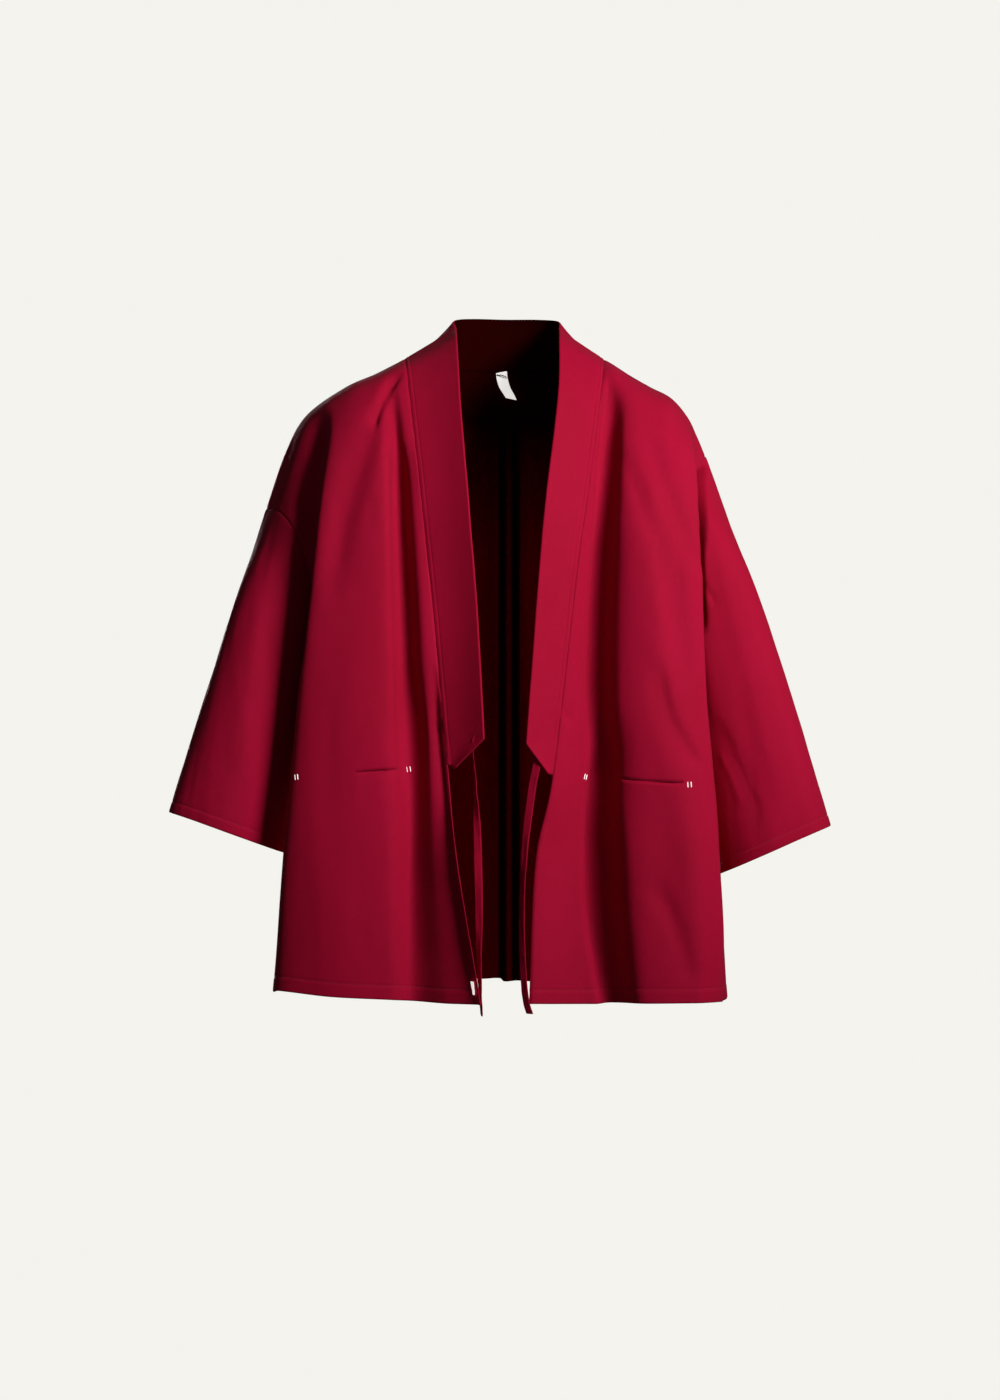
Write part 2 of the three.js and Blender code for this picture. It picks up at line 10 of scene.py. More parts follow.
import bpy
import numpy as np
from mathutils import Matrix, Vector


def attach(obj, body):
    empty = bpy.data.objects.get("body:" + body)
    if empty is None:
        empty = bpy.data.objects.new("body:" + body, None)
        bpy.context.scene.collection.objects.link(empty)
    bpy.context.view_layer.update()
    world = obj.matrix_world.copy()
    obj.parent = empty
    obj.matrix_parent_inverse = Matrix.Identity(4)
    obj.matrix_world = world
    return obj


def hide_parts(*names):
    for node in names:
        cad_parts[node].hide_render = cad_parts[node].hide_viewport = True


MM = 0.001
CLOTH_WALL = 1.4
COLLAR_WALL = 2.6
PANEL_THICKNESS = 1.0

# Each front panel is a net of lines from the shoulder (first row) to the hem (last row).
# Rows: shoulder, top of chest, chest, mid armhole, armpit, collar end, below the pocket slit, hem.
FRONT_LEFT = {
    "edge": [
        (-109.1, 0, 0.9), (-105.3, -40, -19), (-97.6, -74, -79.4), (-87.8, -94, -162.5),
        (-74.4, -100, -290.2), (-60.4, -106, -443.7), (-50, -127, -544.9), (-24.8, -137, -694),
    ],
    "lip": [
        (-117.9, 0, -4), (-115, -43, -22.6), (-107.2, -74, -81.5), (-99.6, -92, -162.3),
        (-89.2, -99, -290.2), (-80.6, -103, -443.8), (-74.1, -110, -546), (-60.2, -115, -695.3),
    ],
    "foot": [
        (-126.8, 0, -8.5), (-124.1, -46, -27.4), (-117.1, -68, -84.1), (-111.2, -80, -161.3),
        (-104.6, -85, -289.7), (-98.2, -86, -444.3), (-97.1, -86, -547.7), (-95.9, -90, -695.3),
    ],
    "crown": [
        (-142.2, 0, -16.3), (-139, -50, -34.4), (-132.5, -82, -91), (-127.5, -98, -166),
        (-125.1, -102, -290.3), (-124, -104, -443.8), (-122.9, -104, -546.4), (-121.9, -103, -692.6),
    ],
    "mid": [
        (-176.4, 0, -31.7), (-172.7, -48, -48.8), (-165.7, -81, -103.7), (-166.8, -96, -173.3),
        (-171.9, -100, -290.2), (-179.2, -101, -443.9), (-182.3, -102, -546.6), (-183.5, -101, -689.7),
    ],
    "fold": [
        (-218.3, 0, -62.5), (-211, -36, -77.1), (-196.1, -74, -118), (-200.2, -90, -186.6),
        (-210.4, -89, -289.8), (-224, -86, -444.3), (-233.1, -85, -547.8), (-239.3, -82, -685.7),
    ],
    "arm": [
        (-241, 0, -104), (-231, -34, -126), (-213, -62, -160), (-208, -68, -230),
        (-202, -46, -306), (-219, -46, -444), (-233, -43, -547), (-248.5, -40, -692),
    ],
    "side": [
        (-262, 0, -165), (-243, -36, -172), (-223, -52, -200), (-206, -38, -262),
        (-196, 0, -308), (-208, 0, -444), (-224, 0, -546), (-244, 0, -694),
    ],
}
FRONT_RIGHT = {
    "edge": [
        (110.2, 0, -0.2), (107.4, -40, -20.1), (99.5, -74, -79.4), (88, -94, -162.5),
        (77.2, -100, -237.2), (51.7, -102, -454.4), (33.3, -98, -546.9), (26.4, -98, -697.5),
    ],
    "foot": [
        (120.2, 0, -5.7), (117.5, -45, -25.1), (112.7, -66, -84.9), (106.5, -85, -167.1),
        (101.1, -87, -245), (96, -80, -455.1), (98.3, -76, -548.4), (102.6, -77, -700.2),
    ],
    "brow": [
        (138.9, 0, -17.8), (135.1, -50, -36.6), (128, -82, -95.3), (124.7, -104, -173.9),
        (122.3, -109, -251.4), (124.5, -108, -454.2), (132.8, -110, -546), (143.4, -110, -696),
    ],
    "crown": [
        (161, 0, -30.4), (157.2, -50, -49.6), (152.4, -84, -107.2), (152, -107, -181.6),
        (155.8, -114, -254.8), (168.4, -115, -454), (185.4, -113, -545.8), (196, -112, -694.6),
    ],
    "mid": [
        (184.1, 0, -42.7), (179.7, -46, -61), (175.2, -78, -114.1), (177.1, -97, -186.1),
        (181, -102, -258.5), (199.9, -103, -454.4), (210.7, -101, -546.7), (217.4, -97, -695.5),
    ],
    "fold": [
        (201.7, 0, -63), (200.4, -31, -79.8), (200.1, -62, -123.2), (200.6, -82, -190.3),
        (202.3, -87, -259.9), (223.4, -78, -455.2), (230.3, -72, -548.6), (237.2, -62, -697.8),
    ],
    "arm": [
        (212, 0, -84), (206, -33, -111), (201, -58, -154), (194, -66, -218),
        (186, -46, -264), (206, -40, -454), (227, -34, -548), (243.5, -26, -698),
    ],
    "side": [
        (221.6, 0, -107), (204, -36, -137), (197, -51, -186), (187, -38, -236),
        (178, 0, -262), (200, 0, -452), (222, 0, -546), (242, 0, -697),
    ],
}
ARMPIT_ROW = 4
COLLAR_END_ROW = 5

# Grid steps between one net row and the next, and between one net line and the next.
ROW_STEPS = [10, 16, 26, 30, 48, 30, 36]
LINE_STEPS_LEFT = [7, 11, 12, 24, 26, 14, 14]
LINE_STEPS_RIGHT = [18, 17, 18, 18, 16, 14, 14]
BACK_ROW_STEPS = [8, 12, 20, 24, 36, 22, 28]
BACK_LINE_STEPS = [4, 5, 6, 10, 10, 7, 8]
HEM_ROW_GAP = 0.01
HEM_ROWS = [6.86, 6.875, 6.885, 6.893, 6.9, 6.907, 6.915, 6.93, 6.95, 6.97, 6.985, 6.993, 7.0]

NECK_SEAM = [
    (-109.1, 0, 0.9), (-92, 36, -1), (-52, 63, -3), (0, 71, -4), (52, 63, -4), (93, 36, -2),
    (110.2, 0, -0.2),
]
NECK_FREE = [
    (-54, 8, 36), (-56, 34, 48), (-36, 57, 53), (2, 66, 53.5), (41, 57, 52), (61, 34, 46.5), (62, 8, 34),
]
COLLAR_FREE_LEFT = [
    (-54, 8, 36), (-52, -38, 12), (-47.4, -84, -57), (-39.2, -113, -156), (-29.3, -121, -280),
    (-22, -130, -416),
]
COLLAR_FREE_RIGHT = [
    (62, 8, 34), (61, -40, 12), (58, -84, -55), (45.6, -109, -156), (38.7, -113, -228), (24, -118, -421),
]
COLLAR_TIP_LEFT = (-54, -111, -448)
COLLAR_TIP_RIGHT = (47, -109, -453)
# The ends are cut off slantwise from this row on.
CHAMFER_ROW = 4.8
# Grid steps down each side, closer rows at the ends (from, to, count), and steps round the neck.
COLLAR_ROW_STEPS = [14, 18, 26, 26, 46]
COLLAR_END_ROWS = (4.75, 5, 16)
COLLAR_NECK_STEPS = [12, 14, 16, 16, 14, 12]
# Across one face, as shares of the way to the fold: from, to, count. Then the fold's rounding.
COLLAR_ACROSS = [(0, 0.035, 5), (0.05, 0.13, 9), (0.165, 0.94, 22), (0.965, 0.995, 4)]
FOLD_ROUND = (0.75, 0.66)

# Back panel rows: share of the way to the hem, how far back the row stands, how far it has spread.
BACK_ROWS = [
    (0, 0, 0), (0.035, 40, 0.06), (0.1, 68, 0.2), (0.235, 88, 0.66),
    (0.39, 95, 0.92), (0.635, 98, 0.96), (0.78, 98, 0.98), (1, 97, 1),
]
BACK_ARMHOLE_LEFT = [(-262, 0, -165), (-250, 36, -176), (-230, 52, -208), (-209, 38, -266)]
BACK_ARMHOLE_RIGHT = [(221.6, 0, -107), (218, 34, -126), (205, 51, -176), (190, 38, -231)]
BACK_NECK_STEPS = [10, 10, 14, 14, 10, 10]
BACK_ROUNDNESS = 2.8
BACK_DEPTH = 98
NECK_SLOWING = 2.2
# The back's sides hang at their own level only far out, by this power of the way there.
BACK_SIDE_SWING = 4
# Folds down the back: name, place across, reach, height. They are full at this share of the way down.
BACK_FOLDS = [("left fold", -8, 9, 9), ("middle", 3, 6, -4), ("right fold", 15, 10, 10)]
BACK_FOLDS_FULL = 0.125
# The back's top edge runs this far up into the collar seam, within this reach of the middle.
NECK_LAP = 0.9
NECK_LAP_REACH = 75
NECK_LAP_FADE = 20

# Sleeves: cuff's outer and inner end, outward bow, and half the tube's depth along it.
SLEEVE_LEFT = {"outer": (-366, 0, -498), "inner": (-244, 0, -543), "bow": 1, "depth": [50, 57, 60, 60]}
SLEEVE_RIGHT = {"outer": (356, 0, -513), "inner": (236.5, 0, -567), "bow": 5, "depth": [50, 58, 61, 60]}
# Rows near the cuff, by their distance from its edge, and the least share between them and the others.
CUFF_ROWS = [14.5, 13.4, 12.6, 11.9, 11.2, 10.4, 9, 6.5, 4, 2, 0.8, 0]
CUFF_ROW_GAP = 0.004
ARMHOLE_BLEND = 0.38
CUFF_TILT = 5
SLEEVE_FLATNESS = 0.48
SLEEVE_ROUND = 132
SLEEVE_ALONG = 150

# Creases seen from the front: name, path (x, z), height, reach to its left, reach to its right.
CREASES_LEFT = [
    ("shoulder crease", [(-109, -18), (-122, -39), (-133, -64), (-142, -88)], -4.5, 7, 3),
    ("soft drape",
     [(-128, -54), (-137, -77), (-151, -119), (-166, -170), (-178, -228), (-193, -288)], -4.0, 17, 12),
    ("sleeve-side crest",
     [(-189, -61), (-195, -104), (-201, -162), (-209, -226), (-216, -311), (-224, -375)], -5.0, 10, 3.5),
    ("sleeve-side fold",
     [(-198, -51), (-205, -98), (-212, -141), (-217, -189), (-224, -247), (-229, -311)], -15.0, 12, 12),
    ("collar-side valley",
     [(-115, -86), (-115, -141), (-113, -226), (-110, -332), (-106, -428), (-100, -534)], -6.5, 6, 16),
    ("front corner sink",
     [(-77, -322), (-60, -418), (-45, -513), (-32, -620), (-24, -758)], -8.0, 38, 30),
    ("pocket pull", [(-153, -456), (-132, -452), (-106, -443)], -0.9, 6, 6),
]
CREASES_RIGHT = [
    ("chest wedge",
     [(116, -13), (112, -51), (107, -98), (102, -152), (97, -226), (91, -311), (91, -396),
      (98, -503)], -9.0, 3.5, 19),
    ("chest drape", [(150, -75), (170, -157), (187, -205), (202, -247)], -2.4, 11, 8),
    ("long drape", [(123, -96), (144, -162), (160, -210), (174, -290), (183, -375)], -2.2, 9, 9),
    ("waist drape", [(159, -322), (171, -385), (186, -421), (202, -452)], -3.0, 14, 5),
    ("edge pinch", [(60, -382), (66, -392), (74, -400)], -1.3, 3, 3),
    ("low valley",
     [(103, -370), (99, -428), (93, -481), (91, -534), (93, -598), (102, -662), (114, -737),
      (121, -822)], -14.0, 5, 26),
    ("hem drape", [(157, -561), (183, -620), (204, -692)], -2.4, 12, 9),
    ("side crest",
     [(198, -56), (197, -109), (196, -184), (199, -269), (205, -375), (212, -481), (220, -588),
      (225, -694), (232, -800)], 13.0, 38, 6),
]
CREASES_SLEEVE_LEFT = [
    ("middle ridge",
     [(-257, -202), (-261, -235), (-267, -289), (-277, -353), (-282, -418), (-278, -521)], 2.5, 18, 12),
]
CREASES_SLEEVE_RIGHT = [
    ("armhole pleat",
     [(235, -51), (226, -73), (211, -105), (205, -129), (204, -154), (204, -192), (205, -224),
      (208, -267), (215, -316)], -23.0, 6, 6),
    ("armhole pleat's outer side",
     [(242, -51), (233, -77), (221, -107), (217, -132), (216, -154), (214, -192), (211, -224),
      (212, -263), (218, -310)], -23.0, 6.5, 3),
    ("bright ridge",
     [(224, -146), (235, -224), (252, -300), (271, -375), (285, -429), (311, -515)], 3.0, 12, 22),
    ("armpit crease", [(210, -239), (219, -256), (230, -275)], -1.5, 2.5, 2.5),
    ("elbow fold", [(220, -379), (241, -422), (259, -453), (270, -483), (274, -532)], -2.2, 16, 6),
    ("first elbow ridge", [(230, -428), (240, -446), (251, -473), (259, -494)], 1.2, 2.5, 2.5),
    ("second elbow ridge", [(246, -426), (256, -443), (270, -473), (277, -487)], 1.2, 2.2, 3),
]

# Pocket slits, from the bartack at one end to the one at the other. They are cut between two shares
# of their length and stand open in two places: share of the length, reach, width.
SLITS = {
    "left": {"from": (-219, -455.5), "to": (-104, -448), "gap": (0.52, 0.97),
             "open": [(0.6, 0.12, 0.25), (0.76, 0.05, 1.7)]},
    "right": {"from": (89, -457), "to": (193, -463), "gap": (0.26, 0.94),
              "open": [(0.4, 0.1, 0.45), (0.8, 0.11, 0.8)]},
}
# Bartacks: front, place (x, z), tilt in degrees. Each is a pair of bars.
BARTACKS = [
    ("left", -221, -457, 12), ("left", -102, -449, 8), ("right", 87, -457, -24), ("right", 195, -464, 3),
]
BARTACK_THREADS = 15
BARTACK_SPACING = 3.7
BARTACK_LENGTH = 5.2

TINY = 1e-9
CLOTH_MAP = "cloth"
NOISE_LATTICE = 64

# A crease's path is cut into this many steps for each of its points, and fades over this share of it.
CREASE_STEPS = 8
CREASE_FADE = 0.22
# Waves of the drape: height, length across, lean (how far down shifts it by one), length down.
DRAPE_WAVES = [(0.9, 46, 400, 190), (0.45, 21, 260, 90), (0.16, 9, math.inf, 30)]
DRAPE_SHIFT = (500, 1500)

# Reliefs of the sewing: heights, and the distances over which they die out.
BODY_HEM = 15.0
CUFF_HEM = 12.0
HEM = {"proud": 0.3, "rise": 1.6, "groove": -0.42, "groove_reach": 1.3, "roll": -0.5, "roll_reach": 1.2}
SEAM = {"depth": 0.7, "reach": 1.6, "pucker_reach": 7.0}
COLLAR_SEAM_DEPTH = 0.6
SHOULDER_SEAM_DEPTH = 0.25
NECK_SEAM_DEPTH = 0.5
ARMHOLE_SEAM_DEPTH = 0.35
CENTRE_SEAM = {"place": 3, "depth": 0.6, "reach": 0.9, "growth": 4}
PUCKER_ALONG = 7.0
PUCKER_AWAY = 30.0
FRONT_PUCKER = 0.35
SLEEVE_PUCKER = 0.3
# Seeds of the puckers, counted on from their piece's own.
FRONT_PUCKER_SEED = 9
SLEEVE_PUCKER_SEED = 5

# Distances from the seams within which creases and waves grow to their full height.
FRONT_GROWTH = {"creases_side": 30, "waves_edge": 25, "waves_side": 10, "edge": 4, "side": 4, "shoulder": 6}
BACK_GROWTH = 20
SLEEVE_GROWTH = 5
COLLAR_GROWTH = 8
BACK_SEED = 71
BACK_WAVES = 1.5
SLEEVE_WAVES = 1.3
# The waves at the sleeve's back are shifted by this much against those at its front, and its creases
# reach full height once this share of the way round to its front.
SLEEVE_WAVE_SHIFT = 90
SLEEVE_FRONT_SHARE = 0.25

# Rows of a front slide onto its slit within this reach, in rows. The slit's lips: how they fade at
# its ends, where the lower one starts, the two heights, the least and opened shares, the reach.
SLIDE_REACH = 0.22
LIP = {"fade": 0.06, "edge": 0.3, "lower": 1.0, "upper": -0.7, "least": 0.03, "opened": 0.4, "reach": 8.0}
SLIT_LEAST = 0.02
SLIT_LOWER_SHARE = 0.6
SLIT_END_COLUMNS = 4

# Collar reliefs. Waves and puckers: seed, height, length along the band, length across it.
COLLAR_WAVES = [(32, 0.5, 42, 60), (31, 0.2, 13, 24)]
COLLAR_PUCKER = (31, 0.28, 6.0, 30)
COLLAR_SAG = {"until": 0.42, "fade": 60, "depth": 1.8}
COLLAR_TURN = {"depth": 0.55, "reach": 1.5, "pucker_reach": 6}
COLLAR_PINCH = {"share": 0.55, "reach": 1.5}
TOPSTITCH = {"place": 5.0, "depth": 0.32, "reach": 0.8}

# Ribbons: half the places round the section, as shares of the half width, and the section's form.
RIBBON_HALF = [0, 0.35, 0.6, 0.76, 0.86, 0.94, 0.985, 1]
RIBBON_SQUARENESS = 8
RIBBON_FOLD = {"place": 0.8, "reach": 0.07}
RIBBON_TAPER = 0.25
TAPE_THICKNESS = 0.8

# Stitches: length, width and height. Threads: sides, rings, and shares that shape each of them.
HEM_STITCH = (2.5, 0.55, 0.14)
STITCH_PITCH = 3.2
HEM_STITCH_START = 4
CUFF_STITCH_START = 0.5
BARTACK_THREAD = (1.0, 0.42, 0.3)
THREAD_ROUND = 5
THREAD_RINGS = 5
THREAD_FORM = {"narrowing": 0.75, "dip": 1.5, "flatness": 1 / 1.3, "uneven_length": 0.08, "lean": 0.06}

# Ties: where they are sewn, the gap behind the collar, and their fineness along the path.
TIE_WIDTH = 9
TIE_THICKNESS = 1.3
TIE_FOLD = 0.16
TIE_ROWS = [4.6, 4.7, 4.8]
TIE_SHARES = [0.56, 0.8]
TIE_GAP = 1.0
TIE_STEPS = 9
TIE_SEWN_ROWS = 13
TIE_FINENESS = 1.5
TIE_WAVES = {"height": 0.35, "length": 9, "across": 1.5, "shift": 4}
# How far each tie is turned about its own length: distance down from its top, degrees.
TIE_LEFT_TWIST = [
    (0, 0), (26, 0), (34, 72), (95, 70), (125, 26), (170, 12), (225, 30), (275, 56), (310, 76), (400, 80),
]
TIE_RIGHT_TWIST = [(0, 0), (26, 0), (34, 48), (70, 18), (130, 24), (200, 55), (400, 30)]
TIE_LEFT_PATH = [
    (-33, -110, -440), (-31.5, -108, -455), (-30, -108, -480), (-28.6, -109, -512), (-27.6, -112, -545),
    (-26.6, -118, -590), (-26.5, -125, -640), (-25.5, -130, -672), (-23.4, -131.4, -706),
]
TIE_RIGHT_PATH = [
    (35, -109, -440), (30, -105, -466), (25.5, -104, -498), (22, -104, -530), (20, -104, -562),
    (18.8, -104, -597), (19.2, -104, -640), (20.8, -105, -672), (23.5, -106, -695), (27, -106, -707),
]

# Pocket bags, behind the fronts' rows and at every third of their points.
POCKET_ROWS = (4.8, 6.25)
POCKET_STEP = 3
POCKET_GAP = 0.9
POCKET_THICKNESS = 0.7

# Neck label, with its rows of stitches: distance below its top, shift of the first stitch.
LABEL_PATH = [(-2.7, 69, -4), (-1.9, 65.5, -12), (0.9, 62, -22), (5.9, 60.5, -31), (8.2, 60.5, -35.5)]
LABEL_POINTS = 41
LABEL_WIDTH = 12.5
LABEL_TURN = (0.22, -0.2)
LABEL_SKEW = 0.1
LABEL_STITCHES = [(2.4, 0.6), (4.0, 0.0)]
LABEL_STITCH = (1.75, 1.3, 0.5)
LABEL_STITCH_SLANT = 0.45
LABEL_STITCH_REACH = 5.2
LABEL_STITCH_PITCH = 1.7
LABEL_STITCH_RISE = 0.75

# The white tab at the left front's corner, on the front's own lines and rows.
TAB = {
    "lines": [0.0, 0.16], "rows": (6.84, 6.93), "turn_row": 6.87,
    "points": 12, "widths": (5.8, 3.0), "shift": 0.9,
}

# The looks, in metres. A surface's roughness, sheen, roughness of the sheen, and specular level.
CLOTH_SURFACE = (0.7, 0.02, 0.45, 0.12)
INSIDE_SURFACE = (0.85, 0.0, 0.5, 0.02)
TRIM_SHEEN = (0.1, 0.5, 0.3)
FLOOR_ROUGHNESS = 0.8
# The weave: its pitch, how its threads wander, and how thin and how long a slub is.
WEAVE_PITCH = 0.0008
WANDER = {"scale": 40.0, "size": 0.9}
SLUB = {"thin": 0.9, "long": 45.0}
# Scales of the noises, in cells to the metre.
BROAD_ACROSS = 11.0
BROAD_DOWN = 7.0
FIBRE_SCALE = 900.0
FLECK_SCALE = 500.0
MOTTLING_SCALE = 3.0
# Shares by which the weave, slubs and noises make the tone and the relief.
CLOTH_TONE = {"height": 0.35, "slub": 1.1, "fibre": 0.3, "broad": 0.35, "less": 0.62}
CLOTH_RELIEF = {"height": 0.6, "slub": 0.9, "fibre": 0.25}
PATCHES = {"contrast": 2.2, "less": 0.6, "share": 0.35}
INSIDE_RELIEF = {"height": 0.6, "slub": 0.5}
TRIM_TONE = {"rib": 0.5, "fleck": 0.7, "less": 0.1}
FLOOR_MOTTLING = 0.97
CLOTH_BUMP = 0.00022
INSIDE_BUMP = 0.0002
TRIM_BUMP = 0.00012
# The painted shade on the inside: where it starts to lighten below the neck, over what height it lightens,
# and the folds down the back where the painted shade stays deep (place across, half width).
PAINTED_SHADE_TOP = 0.06
PAINTED_SHADE_FALL = 0.16
PAINTED_FOLD_SHADES = [(-0.0015, 0.0062), (0.0135, 0.0062)]
PAINTED_FOLD_SHADE_EDGE = 1.2
PAINTED_FOLD_SHADE_POWER = 4.0
# Sockets known by number: the place on the object, and the colour mix's share, colours and result.
OBJECT_OUTPUT = 3
MIX_SOCKETS = (0, 6, 7)
MIX_OUTPUT = 2

# Soft lights: name, place, target, size, energy.
SOFTBOXES = [
    ("key_softbox", (1.42, -1.64, 0.46), (-0.05, 0.0, -0.2), 0.7, 6.8),
    ("back_softbox", (-0.7, 2.3, 0.1), (0.0, 0.0, -0.38), 1.0, 6.0),
]
SOFTBOX_SPREAD = 60
CAMERA = {"eye": (-0.0044, -2.6, -0.375), "target": (-0.0044, 0.0, -0.375), "sensor": 36.0, "lens": 60.65}
WORLD_SEEN = ((0.905, 0.896, 0.855), 1.0)
WORLD_AMBIENT = ((1.0, 1.0, 1.0), 0.05)
# The floor, its radii and height in millimetres: its paint's colour and the colour of its glow.
FLOOR_RADII = [0.5, 400, 800, 1100]
FLOOR_ROUND = 96
FLOOR_HEIGHT = -1520
FLOOR_COLOURS = ((0.86, 0.86, 0.84), (0.86, 0.855, 0.82))
FLOOR_GLOW = 0.85


def along(points, t):
    """Smooth curve through a list: a cubic from each entry to the next, its slope the neighbours' mean."""
    points = np.asarray(points, float)
    t = np.asarray(t, float)
    last = len(points) - 1
    k = np.clip(np.floor(t).astype(int), 0, last - 1)
    s = (t - k).reshape(t.shape + (1,) * (points.ndim - 1))
    p1, p2 = points[k], points[k + 1]
    first = (k > 0).reshape(s.shape)
    p0 = np.where(first, points[np.maximum(k - 1, 0)], 2 * p1 - p2)
    end = (k + 2 <= last).reshape(s.shape)
    p3 = np.where(end, points[np.minimum(k + 2, last)], 2 * p2 - p1)
    return 0.5 * (
        2 * p1 + (p2 - p0) * s + (2 * p0 - 5 * p1 + 4 * p2 - p3) * s**2 + (3 * p1 - p0 - 3 * p2 + p3) * s**3
    )


def stations(steps):
    """Parameters that cut each whole interval into its number of even steps."""
    parts = [k + np.arange(n) / n for k, n in enumerate(steps)]
    return np.concatenate([*parts, [float(len(steps))]])


def smooth(x):
    """Ease from 0 to 1 with flat ends: 3x^2 - 2x^3 on x held between 0 and 1."""
    x = np.clip(x, 0, 1)
    return x * x * (3 - 2 * x)


def bell(x):
    """A bell of height 1, e to the power of minus x squared, x being a distance in its own widths."""
    return np.exp(-(x**2))


def unit(v):
    """Vectors brought to the length 1."""
    return v / np.maximum(np.linalg.norm(v, axis=-1, keepdims=True), TINY)


def arc_length(points):
    """Running length along a line of points, from 0 at its first one."""
    return np.concatenate([[0], np.cumsum(np.linalg.norm(np.diff(points, axis=0), axis=1))])


def grid_length(p, axis, from_end=False):
    """Distance of every point of a grid from the grid's first line on that axis, or from its last."""
    steps = np.linalg.norm(np.diff(p, axis=axis), axis=-1)
    run = np.insert(np.cumsum(steps, axis), 0, 0.0, axis)
    return np.take(run, [-1], axis) - run if from_end else run


def grid_normals(p, sign, closed=False):
    """Cross product of the grid's two central differences, times the sign of its outward side."""
    across = np.roll(p, -1, 0) - np.roll(p, 1, 0) if closed else np.gradient(p, axis=0)
    return sign * unit(np.cross(across, np.gradient(p, axis=1)))


def arc_uv(p):
    """Metres across and down the grid; those across are the mean of a row's own and the middle row's."""
    u = grid_length(p, 0)
    u = (u + u[:, [p.shape[1] // 2]]) / 2
    return np.stack([u, grid_length(p, 1)], -1) * MM


class Noise:
    """Smooth seeded noise: random lattice values eased together, one octave."""

    def __init__(self, seed):
        self.values = np.random.default_rng(seed).uniform(-1, 1, (NOISE_LATTICE, NOISE_LATTICE))

    def __call__(self, x, y):
        i, j = np.floor(x).astype(int), np.floor(y).astype(int)
        a, b = smooth(x - i), smooth(y - j)

        def row(dj):
            near = self.values[i % NOISE_LATTICE, (j + dj) % NOISE_LATTICE]
            far = self.values[(i + 1) % NOISE_LATTICE, (j + dj) % NOISE_LATTICE]
            return near * (1 - a) + far * a

        return row(0) * (1 - b) + row(1) * b


def crease_field(p, creases):
    """Sum of creases: height times a bell of the distance from the path, fading at both ends."""
    x, z = p[..., 0], p[..., 2]
    total = np.zeros(x.shape)
    for _, path, height, left, right in creases:
        points = along(path, np.linspace(0, len(path) - 1, CREASE_STEPS * len(path)))
        best = np.full(x.shape, np.inf)
        side = np.zeros(x.shape)
        share = np.zeros(x.shape)
        for k, (start, step) in enumerate(zip(points, np.diff(points, axis=0))):
            t = np.clip(((x - start[0]) * step[0] + (z - start[1]) * step[1]) / (step @ step), 0, 1)
            off_x, off_z = x - start[0] - t * step[0], z - start[1] - t * step[1]
            distance = np.hypot(off_x, off_z)
            near = distance < best
            best = np.where(near, distance, best)
            turned = np.sign(off_z * step[0] - off_x * step[1]) * np.sign(-step[1])
            side = np.where(near, turned, side)
            share = np.where(near, (k + t) / (len(points) - 1), share)
        ends = smooth(share / CREASE_FADE) * smooth((1 - share) / CREASE_FADE)
        total += height * bell(best / np.where(side > 0, right, left)) * ends
    return total


def drape_noise(p, seed, size=1.0):
    """Long soft waves down the cloth, broad ones and finer ones, plus slight puckers."""
    x, z = p[..., 0] + DRAPE_SHIFT[0], p[..., 2] + DRAPE_SHIFT[1]
    return size * sum(
        height * Noise(seed + k)(x / across + z / lean, z / down)
        for k, (height, across, lean, down) in enumerate(DRAPE_WAVES)
    )


class Cloth:
    """A piece's outer surface: grid of points, outward normals and the wall's thickness inwards."""

    def __init__(self, points, sign, closed=False, thickness=PANEL_THICKNESS, raised=CLOTH_WALL / 2):
        self.mid = points
        self.sign = sign
        self.closed = closed
        self.thickness = thickness
        self.normals = grid_normals(points, sign, closed)
        self.points = points + self.normals * raised
        self.slit = None

    def lift(self, height):
        """Raises each point by its own height along its normal, then turns the normals to suit."""
        self.points = self.points + self.normals * height[..., None]
        self.normals = grid_normals(self.points, self.sign, self.closed)


def net_panel(lines, across, down):
    """Smooth surface through a net: first down each line, then across the lines."""
    return along(np.stack([along(rows, down) for rows in lines.values()]), across)


def rows_with_hem(steps):
    """Even rows down to the hem, and the hem's own closer ones below."""
    rows = stations(steps)
    return np.concatenate([rows[rows < HEM_ROWS[0] - HEM_ROW_GAP], HEM_ROWS])


DOWN = rows_with_hem(ROW_STEPS)
BACK_DOWN = rows_with_hem(BACK_ROW_STEPS)
ACROSS_LEFT = stations(LINE_STEPS_LEFT)
ACROSS_RIGHT = stations(LINE_STEPS_RIGHT)


def hem_relief(to_edge, fold=BODY_HEM):
    """Hem: doubled cloth stands proud, its stitch line pulls a groove, and its edge rolls in."""
    proud = HEM["proud"] * smooth((fold - to_edge) / HEM["rise"])
    groove = HEM["groove"] * bell((to_edge - fold) / HEM["groove_reach"])
    rolled = HEM["roll"] * smooth((HEM["roll_reach"] - to_edge) / HEM["roll_reach"])
    return proud + groove + rolled


def seam_relief(distance, pucker=0.0, depth=SEAM["depth"]):
    """Seam: the edge turns in, and small puckers run off it and die out."""
    return -depth * bell(distance / SEAM["reach"]) + pucker * np.exp(-distance / SEAM["pucker_reach"])


def puckers(seed, run, distance):
    """Small waves along a seam, each of them longer away from the seam than along it."""
    return Noise(seed)(run / PUCKER_ALONG, distance / PUCKER_AWAY)


